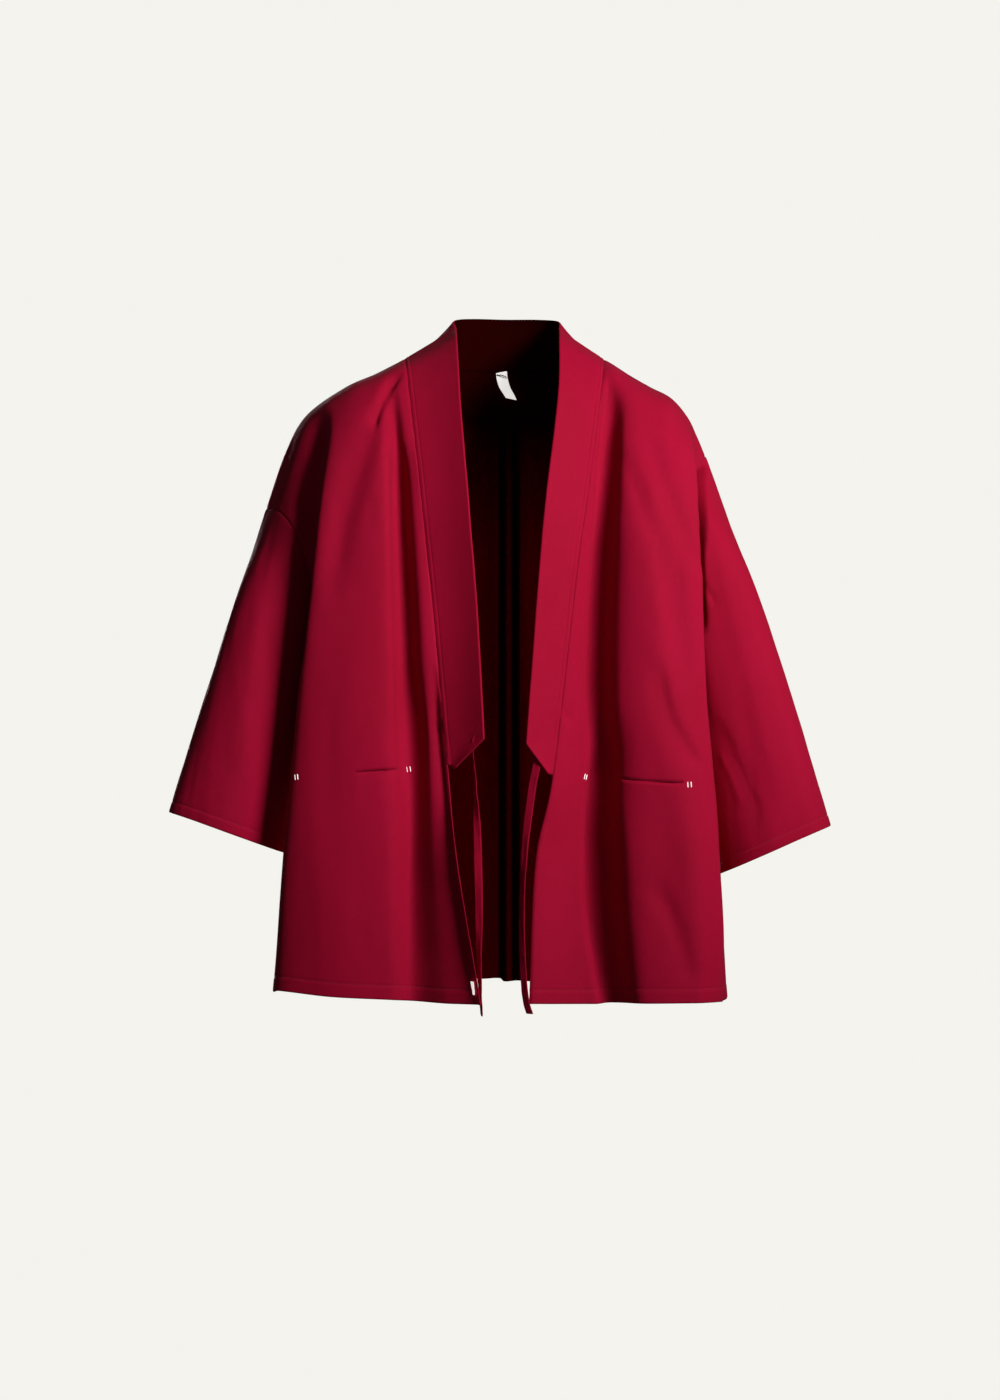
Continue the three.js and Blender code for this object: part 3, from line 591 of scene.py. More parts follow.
def front_panel(lines, across, sign, creases, slit, seed):
    """Front: the net, its creases, seam reliefs, hem and the lips of the pocket slit."""
    mid = net_panel(lines, across, DOWN)
    # Rows slide so that one of them runs along the slit.
    (x1, z1), (x2, z2) = slit["from"], slit["to"]
    slit_z = z1 + (mid[..., 0] - x1) * (z2 - z1) / (x2 - x1)
    row = int(np.median(np.argmin(np.abs(mid[..., 2] - slit_z), axis=1)))
    near = bell((DOWN - DOWN[row]) / SLIDE_REACH)
    slid = np.stack([DOWN + (np.interp(0, rise, DOWN) - DOWN[row]) * near for rise in slit_z - mid[..., 2]])
    columns = np.stack([along(rows, slid) for rows in lines.values()], 1)
    mid = np.stack([along(columns[k], np.array([u]))[0] for k, u in enumerate(across)])
    cloth = Cloth(mid, sign)
    to_edge, to_side = grid_length(mid, 0), grid_length(mid, 0, from_end=True)
    to_shoulder, to_hem = grid_length(mid, 1), grid_length(mid, 1, from_end=True)
    grow = FRONT_GROWTH
    waves = drape_noise(mid, seed) * smooth(to_edge / grow["waves_edge"])
    waves = waves * smooth(to_side / grow["waves_side"])
    height = crease_field(mid, creases) * smooth(to_side / grow["creases_side"]) + waves
    height = height * smooth(to_edge / grow["edge"]) * smooth(to_side / grow["side"])
    height = height * smooth(to_shoulder / grow["shoulder"])
    pucker = FRONT_PUCKER * puckers(seed + FRONT_PUCKER_SEED, to_shoulder, to_edge)
    height += seam_relief(to_edge, pucker, COLLAR_SEAM_DEPTH)
    height += seam_relief(to_side) + seam_relief(to_shoulder, depth=SHOULDER_SEAM_DEPTH)
    height += hem_relief(to_hem)
    # Lips of the slit: the lower lip stands out, the upper one sinks in.
    share = (mid[..., 0] - x1) / (x2 - x1)
    inside = smooth(share / LIP["fade"]) * smooth((1 - share) / LIP["fade"])
    below = slit_z - mid[..., 2]
    opening = sum(wide * bell((share - place) / reach) for place, reach, wide in slit["open"])
    lip = np.where(below > LIP["edge"], LIP["lower"], LIP["upper"])
    lip = lip * (LIP["least"] + LIP["opened"] * opening)
    height += inside * lip * np.exp(-np.abs(below) / LIP["reach"])
    cloth.lift(height)
    first, last = slit["gap"]
    cloth.slit = {
        "row": row,
        "columns": np.nonzero((share[:, row] > first) & (share[:, row] < last))[0],
        "open": SLIT_LEAST + opening[:, row],
    }
    return cloth


def side_line(front, armhole, down):
    """The back's edge at one side: the armhole's back half, then the front panel's own side seam."""
    loop = [*armhole, front["side"][ARMPIT_ROW]]
    upper = along(loop, np.minimum(down, ARMPIT_ROW))
    return np.where((down < ARMPIT_ROW)[:, None], upper, along(front["side"], down))


def back_panel(down):
    """Back: columns from the shoulders and the neck to the hem, standing back as a rounded box."""
    tops_left, tops_right = (
        along([rows[0] for rows in front.values()], stations(BACK_LINE_STEPS))
        for front in (FRONT_LEFT, FRONT_RIGHT)
    )
    neck = along(NECK_SEAM, stations(BACK_NECK_STEPS))
    top = np.concatenate([tops_left[::-1], neck[1:-1], tops_right])
    left = side_line(FRONT_LEFT, BACK_ARMHOLE_LEFT, down)
    right = side_line(FRONT_RIGHT, BACK_ARMHOLE_RIGHT, down)
    fall, depth, spread = along(BACK_ROWS, down).T
    edge = np.where((top[:, 0] < 0)[:, None, None], left[None], right[None])
    share = np.abs(top[:, :1] / edge[:, 0, :1])
    x = top[:, :1] + (share * edge[..., 0] - top[:, :1]) * spread
    rounded = np.maximum(1 - share**BACK_ROUNDNESS, 0) ** (1 / BACK_ROUNDNESS)
    start = np.maximum(top[:, 1:2], 0)
    slow = 1 + NECK_SLOWING * start / BACK_DEPTH
    deep = start + (BACK_DEPTH - start) * (np.maximum(depth, 0) / BACK_DEPTH) ** slow
    folds = sum(height * bell((x - place) / reach) for _, place, reach, height in BACK_FOLDS)
    y = edge[..., 1] + (deep - edge[..., 1]) * rounded + folds * np.minimum(1, fall / BACK_FOLDS_FULL)
    inner = top[:, 2:3] + (edge[:, -1:, 2] - top[:, 2:3]) * fall
    z = inner + (edge[..., 2] - inner) * share**BACK_SIDE_SWING
    p = np.stack([x, y, z], -1)
    p[:, 0] = top
    p[0] = left
    p[-1] = right
    return p


def back_cloth():
    """Back: its surface with soft waves, the centre seam and a top edge that runs into the collar seam."""
    mid = back_panel(BACK_DOWN)
    cloth = Cloth(mid, 1)
    to_top, to_hem = grid_length(mid, 1), grid_length(mid, 1, from_end=True)
    sides = np.minimum(grid_length(mid, 0), grid_length(mid, 0, from_end=True))
    height = drape_noise(mid, BACK_SEED, BACK_WAVES)
    height = height * smooth(to_top / BACK_GROWTH) * smooth(sides / BACK_GROWTH)
    height += seam_relief(to_top, depth=NECK_SEAM_DEPTH) + seam_relief(sides)
    height += hem_relief(to_hem)
    off_centre = (mid[..., 0] - CENTRE_SEAM["place"]) / CENTRE_SEAM["reach"]
    height -= CENTRE_SEAM["depth"] * bell(off_centre) * smooth(to_top / CENTRE_SEAM["growth"])
    cloth.lift(height)
    lap = NECK_LAP * smooth((NECK_LAP_REACH - np.abs(cloth.points[:, 0, 0])) / NECK_LAP_FADE)
    cloth.points[:, 0] += unit(cloth.points[:, 0] - cloth.points[:, 1]) * lap[:, None]
    return cloth


def sleeve_cloth(front, armhole, spec, creases, sign, seed):
    """Sleeve: oval rings between an outer and an inner rail, eased out of the armhole's own loop."""
    turn = 2 * np.pi * np.arange(SLEEVE_ROUND) / SLEEVE_ROUND
    loop_front = np.array(front["side"][: ARMPIT_ROW + 1], float)
    loop_back = [*armhole, front["side"][ARMPIT_ROW]]
    w = np.arange(SLEEVE_ROUND) * (2 * ARMPIT_ROW) / SLEEVE_ROUND
    start = np.where(
        (w <= ARMPIT_ROW)[:, None],
        along(loop_front, np.minimum(w, ARMPIT_ROW)),
        along(loop_back, np.clip(2 * ARMPIT_ROW - w, 0, ARMPIT_ROW)),
    )
    top, armpit = start[0], loop_front[ARMPIT_ROW]
    cuff = 1 - np.array(CUFF_ROWS) / np.linalg.norm(np.array(spec["outer"]) - top)
    s = np.linspace(0, 1, SLEEVE_ALONG)
    s = np.concatenate([s[s < cuff[0] - CUFF_ROW_GAP], cuff])

    def oval(turn, s):
        outer = top + (np.array(spec["outer"]) - top) * s[:, None]
        outer = outer + np.stack([np.sign(outer[:, 0]) * spec["bow"] * np.sin(np.pi * s), 0 * s, 0 * s], -1)
        inner = armpit + (np.array(spec["inner"]) - armpit) * s[:, None]
        depth = along(spec["depth"], s * (len(spec["depth"]) - 1))
        c, d = np.cos(turn)[:, None, None], np.sin(turn)[:, None]
        p = (outer + inner)[None] / 2 + (outer - inner)[None] / 2 * c
        flat = np.where(c[..., 0] > 0, SLEEVE_FLATNESS, 1.0)
        p[..., 1] -= depth * np.sign(d) * np.abs(d) ** flat
        p[..., 2] += CUFF_TILT * s * d
        return p

    hold = 1 - smooth(s / ARMHOLE_BLEND)
    shift = start - oval(turn, np.array([0.0]))[:, 0]
    mid = oval(turn, s) + shift[:, None] * hold[None, :, None]
    cloth = Cloth(mid, sign, closed=True)
    to_seam, to_cuff = grid_length(mid, 1), grid_length(mid, 1, from_end=True)
    height = crease_field(mid, creases) * smooth(np.sin(turn) / SLEEVE_FRONT_SHARE)[:, None]
    shifted = mid + np.sin(turn)[:, None, None] * SLEEVE_WAVE_SHIFT
    height = height + drape_noise(shifted, seed, SLEEVE_WAVES)
    height = height * smooth(to_seam / SLEEVE_GROWTH)
    ring = np.cumsum(np.linalg.norm(np.diff(start, axis=0, append=start[:1]), axis=-1))[:, None]
    pucker = SLEEVE_PUCKER * puckers(seed + SLEEVE_PUCKER_SEED, ring, to_seam)
    height += seam_relief(to_seam, pucker, ARMHOLE_SEAM_DEPTH)
    height += hem_relief(to_cuff, CUFF_HEM)
    cloth.lift(height)
    return cloth


def collar_edges(rows):
    """The collar's seam edge and free edge as two matched lines, from its left end to its right end."""
    neck = stations(COLLAR_NECK_STEPS)
    last = ARMPIT_ROW + (rows - ARMPIT_ROW) / (CHAMFER_ROW - ARMPIT_ROW)
    t = np.minimum(COLLAR_END_ROW, np.where(rows > ARMPIT_ROW, last, rows))
    cut = np.clip((rows - CHAMFER_ROW) / (COLLAR_END_ROW - CHAMFER_ROW), 0, 1)[:, None]

    def free_side(points, tip):
        line = along(points, t)
        return line + (np.array(tip, float) - line) * cut

    left, right = along(FRONT_LEFT["edge"], rows), along(FRONT_RIGHT["edge"], rows)
    free_left = free_side(COLLAR_FREE_LEFT, COLLAR_TIP_LEFT)
    free_right = free_side(COLLAR_FREE_RIGHT, COLLAR_TIP_RIGHT)
    seam = np.concatenate([left[:0:-1], along(NECK_SEAM, neck), right[1:]])
    free = np.concatenate([free_left[:0:-1], along(NECK_FREE, neck), free_right[1:]])
    return seam, free


def collar_cloth():
    """Collar: a closed flat loop carried along the band, outer face, folded edge, inner face, seam."""
    rows = np.unique(np.concatenate([stations(COLLAR_ROW_STEPS), np.linspace(*COLLAR_END_ROWS)]))
    seam, free = collar_edges(rows)
    across = free - seam
    width = np.linalg.norm(across, axis=1)[:, None]
    out = unit(np.cross(across, unit(np.gradient(seam + free, axis=0))))
    arc = arc_length((seam + free) / 2)
    # Round the loop: share of the way to the fold, offset from the middle, and bulge of the fold.
    face_t = np.concatenate([np.linspace(*span) for span in COLLAR_ACROSS])
    flat = np.ones(len(face_t))
    t = np.concatenate([face_t, np.ones(3), face_t[::-1]])
    edge = COLLAR_WALL / 2 * np.concatenate([flat, [FOLD_ROUND[0], 0.0, -FOLD_ROUND[0]], -flat])
    bulge = COLLAR_WALL / 2 * np.concatenate([0 * flat, [FOLD_ROUND[1], 1.0, FOLD_ROUND[1]], 0 * flat])
    from_seam = t[None] * width
    side = np.sign(edge)[None]
    face = np.abs(edge)[None] / (COLLAR_WALL / 2)
    run = arc[:, None]
    relief = sum(
        height * Noise(seed)(run / along_run, from_seam / across_run)
        for seed, height, along_run, across_run in COLLAR_WAVES
    )
    relief = relief * smooth(from_seam / COLLAR_GROWTH)
    lower_left = smooth((arc[-1] * COLLAR_SAG["until"] - run) / COLLAR_SAG["fade"])
    relief = relief - COLLAR_SAG["depth"] * np.sin(np.pi * t)[None] * lower_left
    relief = relief - COLLAR_TURN["depth"] * side * bell(from_seam / COLLAR_TURN["reach"]) * face
    seed, height, along_run, across_run = COLLAR_PUCKER
    pucker = height * Noise(seed)(run / along_run, from_seam / across_run)
    relief = relief + side * pucker * np.exp(-from_seam / COLLAR_TURN["pucker_reach"])
    stitched = TOPSTITCH["depth"] * bell((from_seam - TOPSTITCH["place"]) / TOPSTITCH["reach"])
    relief = relief - stitched * face * (side > 0)
    to_end = np.minimum(arc, arc[-1] - arc)[:, None]
    pinch = 1 - COLLAR_PINCH["share"] * bell(to_end / COLLAR_PINCH["reach"])
    p = seam[:, None] + across[:, None] * t[None, :, None]
    p = p + unit(across)[:, None] * bulge[None, :, None] * pinch[..., None]
    p = p + out[:, None] * ((CLOTH_WALL - COLLAR_WALL) / 2 + edge[None] * pinch + relief)[..., None]
    cloth = Cloth(p, 1, thickness=COLLAR_WALL, raised=0)
    cloth.out, cloth.arc, cloth.seam, cloth.free = out, arc, seam, free
    return cloth


def grid_faces(ni, nj, wrap_i=False, wrap_j=False):
    """Quads of a grid of ni by nj points, wound i then j."""
    i = np.arange(ni if wrap_i else ni - 1)
    j = np.arange(nj if wrap_j else nj - 1)
    a, b = (part.reshape(-1) for part in np.meshgrid(i, j, indexing="ij"))
    c, d = (a + 1) % ni, (b + 1) % nj
    return np.stack([a * nj + b, c * nj + b, c * nj + d, a * nj + d], -1)


def build(name, points, faces, material, uv=None):
    """A mesh from points in mm and quads or triangles, smooth shaded, with an optional UV per point."""
    mesh = bpy.data.meshes.new(name)
    flat = faces.reshape(-1)
    mesh.vertices.add(points.size // 3)
    mesh.vertices.foreach_set("co", np.asarray(points * MM, np.float32).reshape(-1))
    mesh.loops.add(len(flat))
    mesh.loops.foreach_set("vertex_index", flat.astype(np.int32))
    mesh.polygons.add(len(faces))
    mesh.polygons.foreach_set("loop_start", np.arange(0, len(flat), faces.shape[1], dtype=np.int32))
    mesh.update(calc_edges=True)
    mesh.polygons.foreach_set("use_smooth", np.ones(len(faces), bool))
    if uv is not None:
        layer = mesh.uv_layers.new(name=CLOTH_MAP)
        layer.data.foreach_set("uv", np.asarray(uv.reshape(-1, 2), np.float32)[flat].reshape(-1))
    mesh.validate()
    mesh.materials.append(material)
    thing = bpy.data.objects.new(name, mesh)
    bpy.context.scene.collection.objects.link(thing)
    return thing


def walled(thing, thickness):
    """Gives an open sheet its wall, inwards from the outer face."""
    solid = thing.modifiers.new("wall", "SOLIDIFY")
    solid.thickness = thickness * MM
    solid.offset = -1
    solid.use_even_offset = False
    solid.use_quality_normals = True
    solid.material_offset = len(thing.data.materials) - 1


def outward(thing):
    """Turns a closed mesh's faces outwards: its signed volume must come out positive."""
    mesh = thing.data
    points = np.empty(len(mesh.vertices) * 3, np.float32)
    mesh.vertices.foreach_get("co", points)
    mesh.calc_loop_triangles()
    corners = np.empty(len(mesh.loop_triangles) * 3, np.int32)
    mesh.loop_triangles.foreach_get("vertices", corners)
    a, b, c = points.reshape(-1, 3).astype(float)[corners.reshape(-1, 3)].transpose(1, 0, 2)
    if np.einsum("ij,ij->", a, np.cross(b, c)) < 0:
        mesh.flip_normals()


def enter(thing, node=None):
    """Ties a piece to the one body, and hides the node whose place it takes."""
    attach(thing, "root")
    if node:
        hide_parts(node)


def open_slit(cloth, points, faces, uv):
    """Parts a grid along its slit: the row's points are doubled, and the two edges drawn apart."""
    nj = cloth.points.shape[1]
    row, columns = cloth.slit["row"], cloth.slit["columns"][1:-1]
    edge = columns * nj + row
    count = np.arange(len(columns))
    ends = smooth(count / SLIT_END_COLUMNS) * smooth(count[::-1] / SLIT_END_COLUMNS)
    gap = cloth.slit["open"][columns] * ends
    lower = points[edge].copy()
    lower[:, 2] -= gap * SLIT_LOWER_SHARE
    points[edge, 2] += gap * (1 - SLIT_LOWER_SHARE)
    renumber = np.arange(len(points) + len(lower))
    renumber[edge] = len(points) + count
    below = (faces % nj).min(axis=1) >= row
    faces[below] = renumber[faces[below]]
    return np.concatenate([points, lower]), faces, np.concatenate([uv, uv[edge]])


def piece(name, cloth, node, inner=None):
    """One cloth piece in place of its node: outer grid, slit opened where it has one, then the wall."""
    points, uv = cloth.points.reshape(-1, 3), arc_uv(cloth.points).reshape(-1, 2)
    faces = grid_faces(*cloth.points.shape[:2], wrap_i=cloth.closed)
    if cloth.slit:
        points, faces, uv = open_slit(cloth, points.copy(), faces, uv)
    thing = build(name, points, faces[:, ::-1] if cloth.sign < 0 else faces, CRIMSON, uv)
    if inner:
        thing.data.materials.append(inner)
    walled(thing, cloth.thickness)
    enter(thing, node)


def collar_object(cloth):
    """The collar band: its loop of points, both ends closed, its inner face in the cloth with painted
    shade.
    """
    ni, nj = cloth.points.shape[:2]
    half = nj // 2
    k = np.arange(half)
    cap = np.stack([k, k + 1, nj - 2 - k, nj - 1 - k], -1)
    cap = cap[cap[:, 1] < cap[:, 2]]
    faces = np.concatenate([grid_faces(ni, nj, wrap_j=True), cap, cap[:, ::-1] + (ni - 1) * nj])
    u = np.repeat(cloth.arc[:, None], nj, 1)
    uv = np.stack([u, grid_length(cloth.points, 1)], -1) * MM
    thing = build("collar_band", cloth.points, faces, CRIMSON, uv)
    outward(thing)
    thing.data.materials.append(PAINTED_SHADE_CLOTH)
    inner = (faces % nj).min(axis=1) >= half
    inner[-2 * len(cap):] = False
    thing.data.polygons.foreach_set("material_index", inner.astype(np.int32))
    enter(thing, "collar")


def ribbon(name, line, width, thickness, material, node, relief=None, fold=0.0):
    """A flat strip with rounded edges along a line of centres, ways across and ways out."""
    centre, wide, out = line
    half_u = np.array(RIBBON_HALF)
    u = np.concatenate([-half_u[:0:-1], half_u])
    body = thickness / 2 * (1 - np.abs(u) ** RIBBON_SQUARENESS) ** 0.5
    ridge = fold * bell((np.abs(u) - RIBBON_FOLD["place"]) / RIBBON_FOLD["reach"])
    loop_u = np.concatenate([u, u[::-1][1:-1]])
    loop_height = np.concatenate([body + ridge, -body[::-1][1:-1]])
    ni, nj = len(centre), len(loop_u)
    taper = np.ones(ni)
    taper[0] = taper[-1] = RIBBON_TAPER
    lift = relief(loop_u) if relief else 0
    across = np.broadcast_to(width, ni)[:, None] / 2 * loop_u
    p = centre[:, None] + wide[:, None] * across[..., None]
    p = p + out[:, None] * (loop_height[None] * taper[:, None] + lift)[..., None]
    k = np.arange(1, len(u) - 2)
    cap = np.stack([k, k + 1, (nj - k - 1) % nj, (nj - k) % nj], -1)
    faces = np.concatenate([grid_faces(ni, nj, wrap_j=True), cap, cap[:, ::-1] + (ni - 1) * nj])
    uv = np.stack([np.repeat(arc_length(centre)[:, None], nj, 1), across], -1) * MM
    thing = build(name, p, faces, material, uv)
    outward(thing)
    enter(thing, node)


def sample_line(points, values, targets):
    """Points of a polyline where its running value reaches each target."""
    return np.stack([np.interp(targets, values, points[:, k]) for k in range(3)], -1)


def level_line(cloth, distance, level):
    """The line across a cloth grid where the distance given for each point equals the level."""
    places = []
    for points, normals, row in zip(cloth.points, cloth.normals, distance):
        order = np.argsort(row)
        places.append([sample_line(part[order], row[order], level) for part in (points, normals)])
    points, normals = np.array(places).transpose(1, 0, 2)
    return points, unit(normals)


def stitch_run(points, normals, pitch, skip_ends):
    """Even stitch places along a line: centres, directions and normals."""
    arc = arc_length(points)
    sewn = arc[-1] - 2 * skip_ends
    count = max(int(sewn / pitch), 1)
    at = skip_ends + (np.arange(count) + 0.5) * sewn / count
    ahead, behind = (sample_line(points, arc, at + step) for step in (pitch / 2, -pitch / 2))
    return sample_line(points, arc, at), unit(ahead - behind), unit(sample_line(normals, arc, at))


def threads(name, runs, size, material, seed):
    """Stitches: small rounded threads that dip into the cloth at both ends, merged in one mesh."""
    centre, direction, normal = (np.concatenate(part) for part in zip(*runs))
    length, width, height = size
    count = len(centre)
    rng = np.random.default_rng(seed)
    s = np.linspace(-1, 1, THREAD_RINGS)
    turn = 2 * np.pi * np.arange(THREAD_ROUND) / THREAD_ROUND
    swell = width / 2 * np.sqrt(1 - THREAD_FORM["narrowing"] * s**4)[:, None]
    side = unit(np.cross(direction, normal))
    long = length / 2 * (1 + rng.uniform(-1, 1, count) * THREAD_FORM["uneven_length"])
    lean = rng.uniform(-1, 1, count) * THREAD_FORM["lean"]
    heading = unit(direction + side * lean[:, None])
    rise = height * (1 - THREAD_FORM["dip"] * s**4)
    axis = centre[:, None] + heading[:, None] * (long[:, None] * s)[..., None]
    axis = axis + normal[:, None] * rise[None, :, None]
    p = axis[:, :, None] + side[:, None, None] * (swell * np.cos(turn)[None])[None, :, :, None]
    p = p + normal[:, None, None] * (swell * THREAD_FORM["flatness"] * np.sin(turn)[None])[None, :, :, None]
    tube = grid_faces(THREAD_RINGS, THREAD_ROUND, wrap_j=True)
    first = np.array([[0, k, k + 1] for k in range(1, THREAD_ROUND - 1)])
    last = first[:, ::-1] + (THREAD_RINGS - 1) * THREAD_ROUND
    one = np.concatenate([tube[:, [0, 1, 2]], tube[:, [0, 2, 3]], first, last])
    offset = np.arange(count) * THREAD_RINGS * THREAD_ROUND
    thing = build(name, p, (one[None] + offset[:, None, None]).reshape(-1, 3), material)
    outward(thing)
    enter(thing)


def surface_at(cloth, x, z):
    """The front-facing point of a cloth grid nearest to an (x, z) place, with its normal."""
    distance = (cloth.points[..., 0] - x) ** 2 + (cloth.points[..., 2] - z) ** 2
    distance = np.where(cloth.normals[..., 1] < 0, distance, np.inf)
    at = np.unravel_index(np.argmin(distance), distance.shape)
    p, n = cloth.points[at], cloth.normals[at]
    y = p[1] - ((x - p[0]) * n[0] + (z - p[2]) * n[2]) / n[1]
    return np.array([x, y, z]), n


def bartack(cloth, x, z, tilt):
    """A bartack: a pair of dense satin bars, each a row of short threads laid across it."""
    centre, normal = surface_at(cloth, x, z)
    down = unit(np.array([math.sin(math.radians(tilt)), 0, -math.cos(math.radians(tilt))]))
    down = unit(down - normal * (down @ normal))
    side = unit(np.cross(down, normal))
    s = np.linspace(-1, 1, BARTACK_THREADS)[:, None]
    bars = [centre + side * bar * BARTACK_SPACING / 2 + down * s * BARTACK_LENGTH / 2 for bar in (-1, 1)]
    places = np.concatenate(bars)
    return places, np.tile(side, (len(places), 1)), np.tile(normal, (len(places), 1))


class Tree:
    """A node tree, to which one method adds every node."""

    def __init__(self, tree):
        self.tree = tree

    def feed(self, node, values):
        """Gives a node's sockets, by name or number, their constants or links."""
        for slot, value in values.items():
            if isinstance(value, Shade):
                self.tree.links.new(value.socket, node.inputs[slot])
            else:
                node.inputs[slot].default_value = value

    def node(self, kind, values, **settings):
        """Adds a node with its settings and the values of its sockets, and returns its outputs."""
        node = self.tree.nodes.new(kind)
        for name, value in settings.items():
            setattr(node, name, value)
        self.feed(node, values)
        return [Shade(self, socket) for socket in node.outputs]


class Shade:
    """A socket of a node tree; its operators and methods add the maths nodes."""

    def __init__(self, tree, socket):
        self.tree, self.socket = tree, socket

    def maths(self, kind, *values):
        """Adds one maths node with its values in order."""
        return self.tree.node("ShaderNodeMath", dict(enumerate(values)), operation=kind)[0]

    def __add__(self, other):
        return self.maths("ADD", self, other)

    def __radd__(self, other):
        return self.maths("ADD", other, self)

    def __sub__(self, other):
        return self.maths("SUBTRACT", self, other)

    def __rsub__(self, other):
        return self.maths("SUBTRACT", other, self)

    def __mul__(self, other):
        return self.maths("MULTIPLY", self, other)

    def __rmul__(self, other):
        return self.maths("MULTIPLY", other, self)

    def sine(self):
        return self.maths("SINE", self)

    def absolute(self):
        return self.maths("ABSOLUTE", self)

    def floor(self):
        return self.maths("FLOOR", self)

    def modulo(self, other):
        return self.maths("FLOORED_MODULO", self, other)

    def power(self, other):
        return self.maths("POWER", self, other)

    def clamped(self):
        return self.tree.node("ShaderNodeClamp", {0: self})[0]


class Finish(Tree):
    """A Principled material with helpers for coordinates, noise, colour mixing and bump."""

    def __init__(self, name, roughness, sheen=0.0, sheen_roughness=0.5, specular=0.5):
        self.material = bpy.data.materials.new(name)
        self.material.use_nodes = True
        super().__init__(self.material.node_tree)
        self.shader = self.tree.nodes["Principled BSDF"]
        self.give({
            "Roughness": roughness,
            "Specular IOR Level": specular,
            "Sheen Weight": sheen,
            "Sheen Roughness": sheen_roughness,
        })

    def give(self, values):
        """Gives the shader's own sockets their constants or links."""
        self.feed(self.shader, values)

    def on_cloth(self):
        """Metres across and down the cloth."""
        place = self.node("ShaderNodeUVMap", {}, uv_map=CLOTH_MAP)[0]
        return self.node("ShaderNodeSeparateXYZ", {0: place})[:2]

    def place(self):
        """Metres from the garment's origin, along X, Y and Z."""
        place = self.node("ShaderNodeTexCoord", {})[OBJECT_OUTPUT]
        return self.node("ShaderNodeSeparateXYZ", {0: place})

    def noise(self, x, y, z=0.0, detail=2.0, roughness=0.5):
        """Soft noise from 0 to 1, one cell of it to each unit of the place."""
        place = self.node("ShaderNodeCombineXYZ", {0: x, 1: y, 2: z})[0]
        values = {"Vector": place, "Scale": 1.0, "Detail": detail, "Roughness": roughness}
        return self.node("ShaderNodeTexNoise", values)[0]

    def mix(self, share, first, second):
        """Colour between two: the first at a share of 0, the second at a share of 1."""
        colours = [value if isinstance(value, Shade) else (*value, 1.0) for value in (first, second)]
        values = dict(zip(MIX_SOCKETS, (share, *colours)))
        return self.node("ShaderNodeMix", values, data_type="RGBA")[MIX_OUTPUT]

    def colour(self, value):
        self.give({"Base Color": value})

    def glow(self, colour, strength):
        self.give({"Emission Color": (*colour, 1.0), "Emission Strength": strength})

    def bump(self, height, distance):
        values = {"Distance": distance, "Strength": 1.0, "Height": height}
        self.give({"Normal": self.node("ShaderNodeBump", values)[0]})


def plain_weave(finish, pitch):
    """Over-and-under threads from the cloth's own coordinates, with uneven thread thickness."""
    u, v = finish.on_cloth()
    wander = (finish.noise(u * WANDER["scale"], v * WANDER["scale"]) - 0.5) * WANDER["size"]
    across, down = (part * (1 / pitch) + wander for part in (u, v))
    warp, weft = ((part * math.pi).sine().absolute() for part in (across, down))
    over = (across.floor() + down.floor()).modulo(2.0)
    thin, long = SLUB["thin"] / pitch, SLUB["long"]
    slub_down = finish.noise(u * thin, v * long, z=3.0, detail=1.0)
    slub_across = finish.noise(u * long, v * thin, z=7.0, detail=1.0)
    return warp * over + weft * (1.0 - over), slub_down, slub_across


def cloth_finish(name, dark, mid, light):
    """Woven cotton: thread tones, slubs and fibres, in patches that are a little duller or lighter."""
    finish = Finish(name, *CLOTH_SURFACE)
    height, slub_down, slub_across = plain_weave(finish, WEAVE_PITCH)
    x, y, z = finish.place()
    broad = finish.noise(x * BROAD_ACROSS, y * BROAD_ACROSS, z * BROAD_DOWN, detail=3.0)
    fibre = finish.noise(x * FIBRE_SCALE, y * FIBRE_SCALE, z * FIBRE_SCALE, roughness=0.7)
    slub = slub_down * 0.5 + slub_across * 0.5
    share = CLOTH_TONE
    tone = height * share["height"] + slub * share["slub"] + fibre * share["fibre"] + broad * share["broad"]
    base = finish.mix((tone - share["less"]).clamped(), dark, light)
    soft = finish.mix((broad * PATCHES["contrast"] - PATCHES["less"]).clamped(), mid, light)
    finish.colour(finish.mix(PATCHES["share"], base, soft))
    share = CLOTH_RELIEF
    finish.bump(height * share["height"] + slub * share["slub"] + fibre * share["fibre"], CLOTH_BUMP)
    return finish.material


def painted_shade_finish(name, deep, full):
    """The cloth's inside, with painted shade: the deep colour is painted near the neck and in the two soft
    folds down the back, the full colour lower down.
    """
    finish = Finish(name, *INSIDE_SURFACE)
    height, slub_down, slub_across = plain_weave(finish, WEAVE_PITCH)
    x, _, z = finish.place()
    # A share of 0 is the painted shade at its deepest, at the neck and in the back's folds; a share of 1 is
    # the full colour.
    share = ((-PAINTED_SHADE_TOP - z) * (1 / PAINTED_SHADE_FALL)).clamped()
    for centre, half_width in PAINTED_FOLD_SHADES:
        away = ((x - centre) * (1 / half_width)).absolute()
        share = share * (away.power(PAINTED_FOLD_SHADE_POWER) * PAINTED_FOLD_SHADE_EDGE).clamped()
    finish.colour(finish.mix(share, deep, full))
    slub = slub_down * INSIDE_RELIEF["slub"] + slub_across * INSIDE_RELIEF["slub"]
    finish.bump(height * INSIDE_RELIEF["height"] + slub, INSIDE_BUMP)
    return finish.material


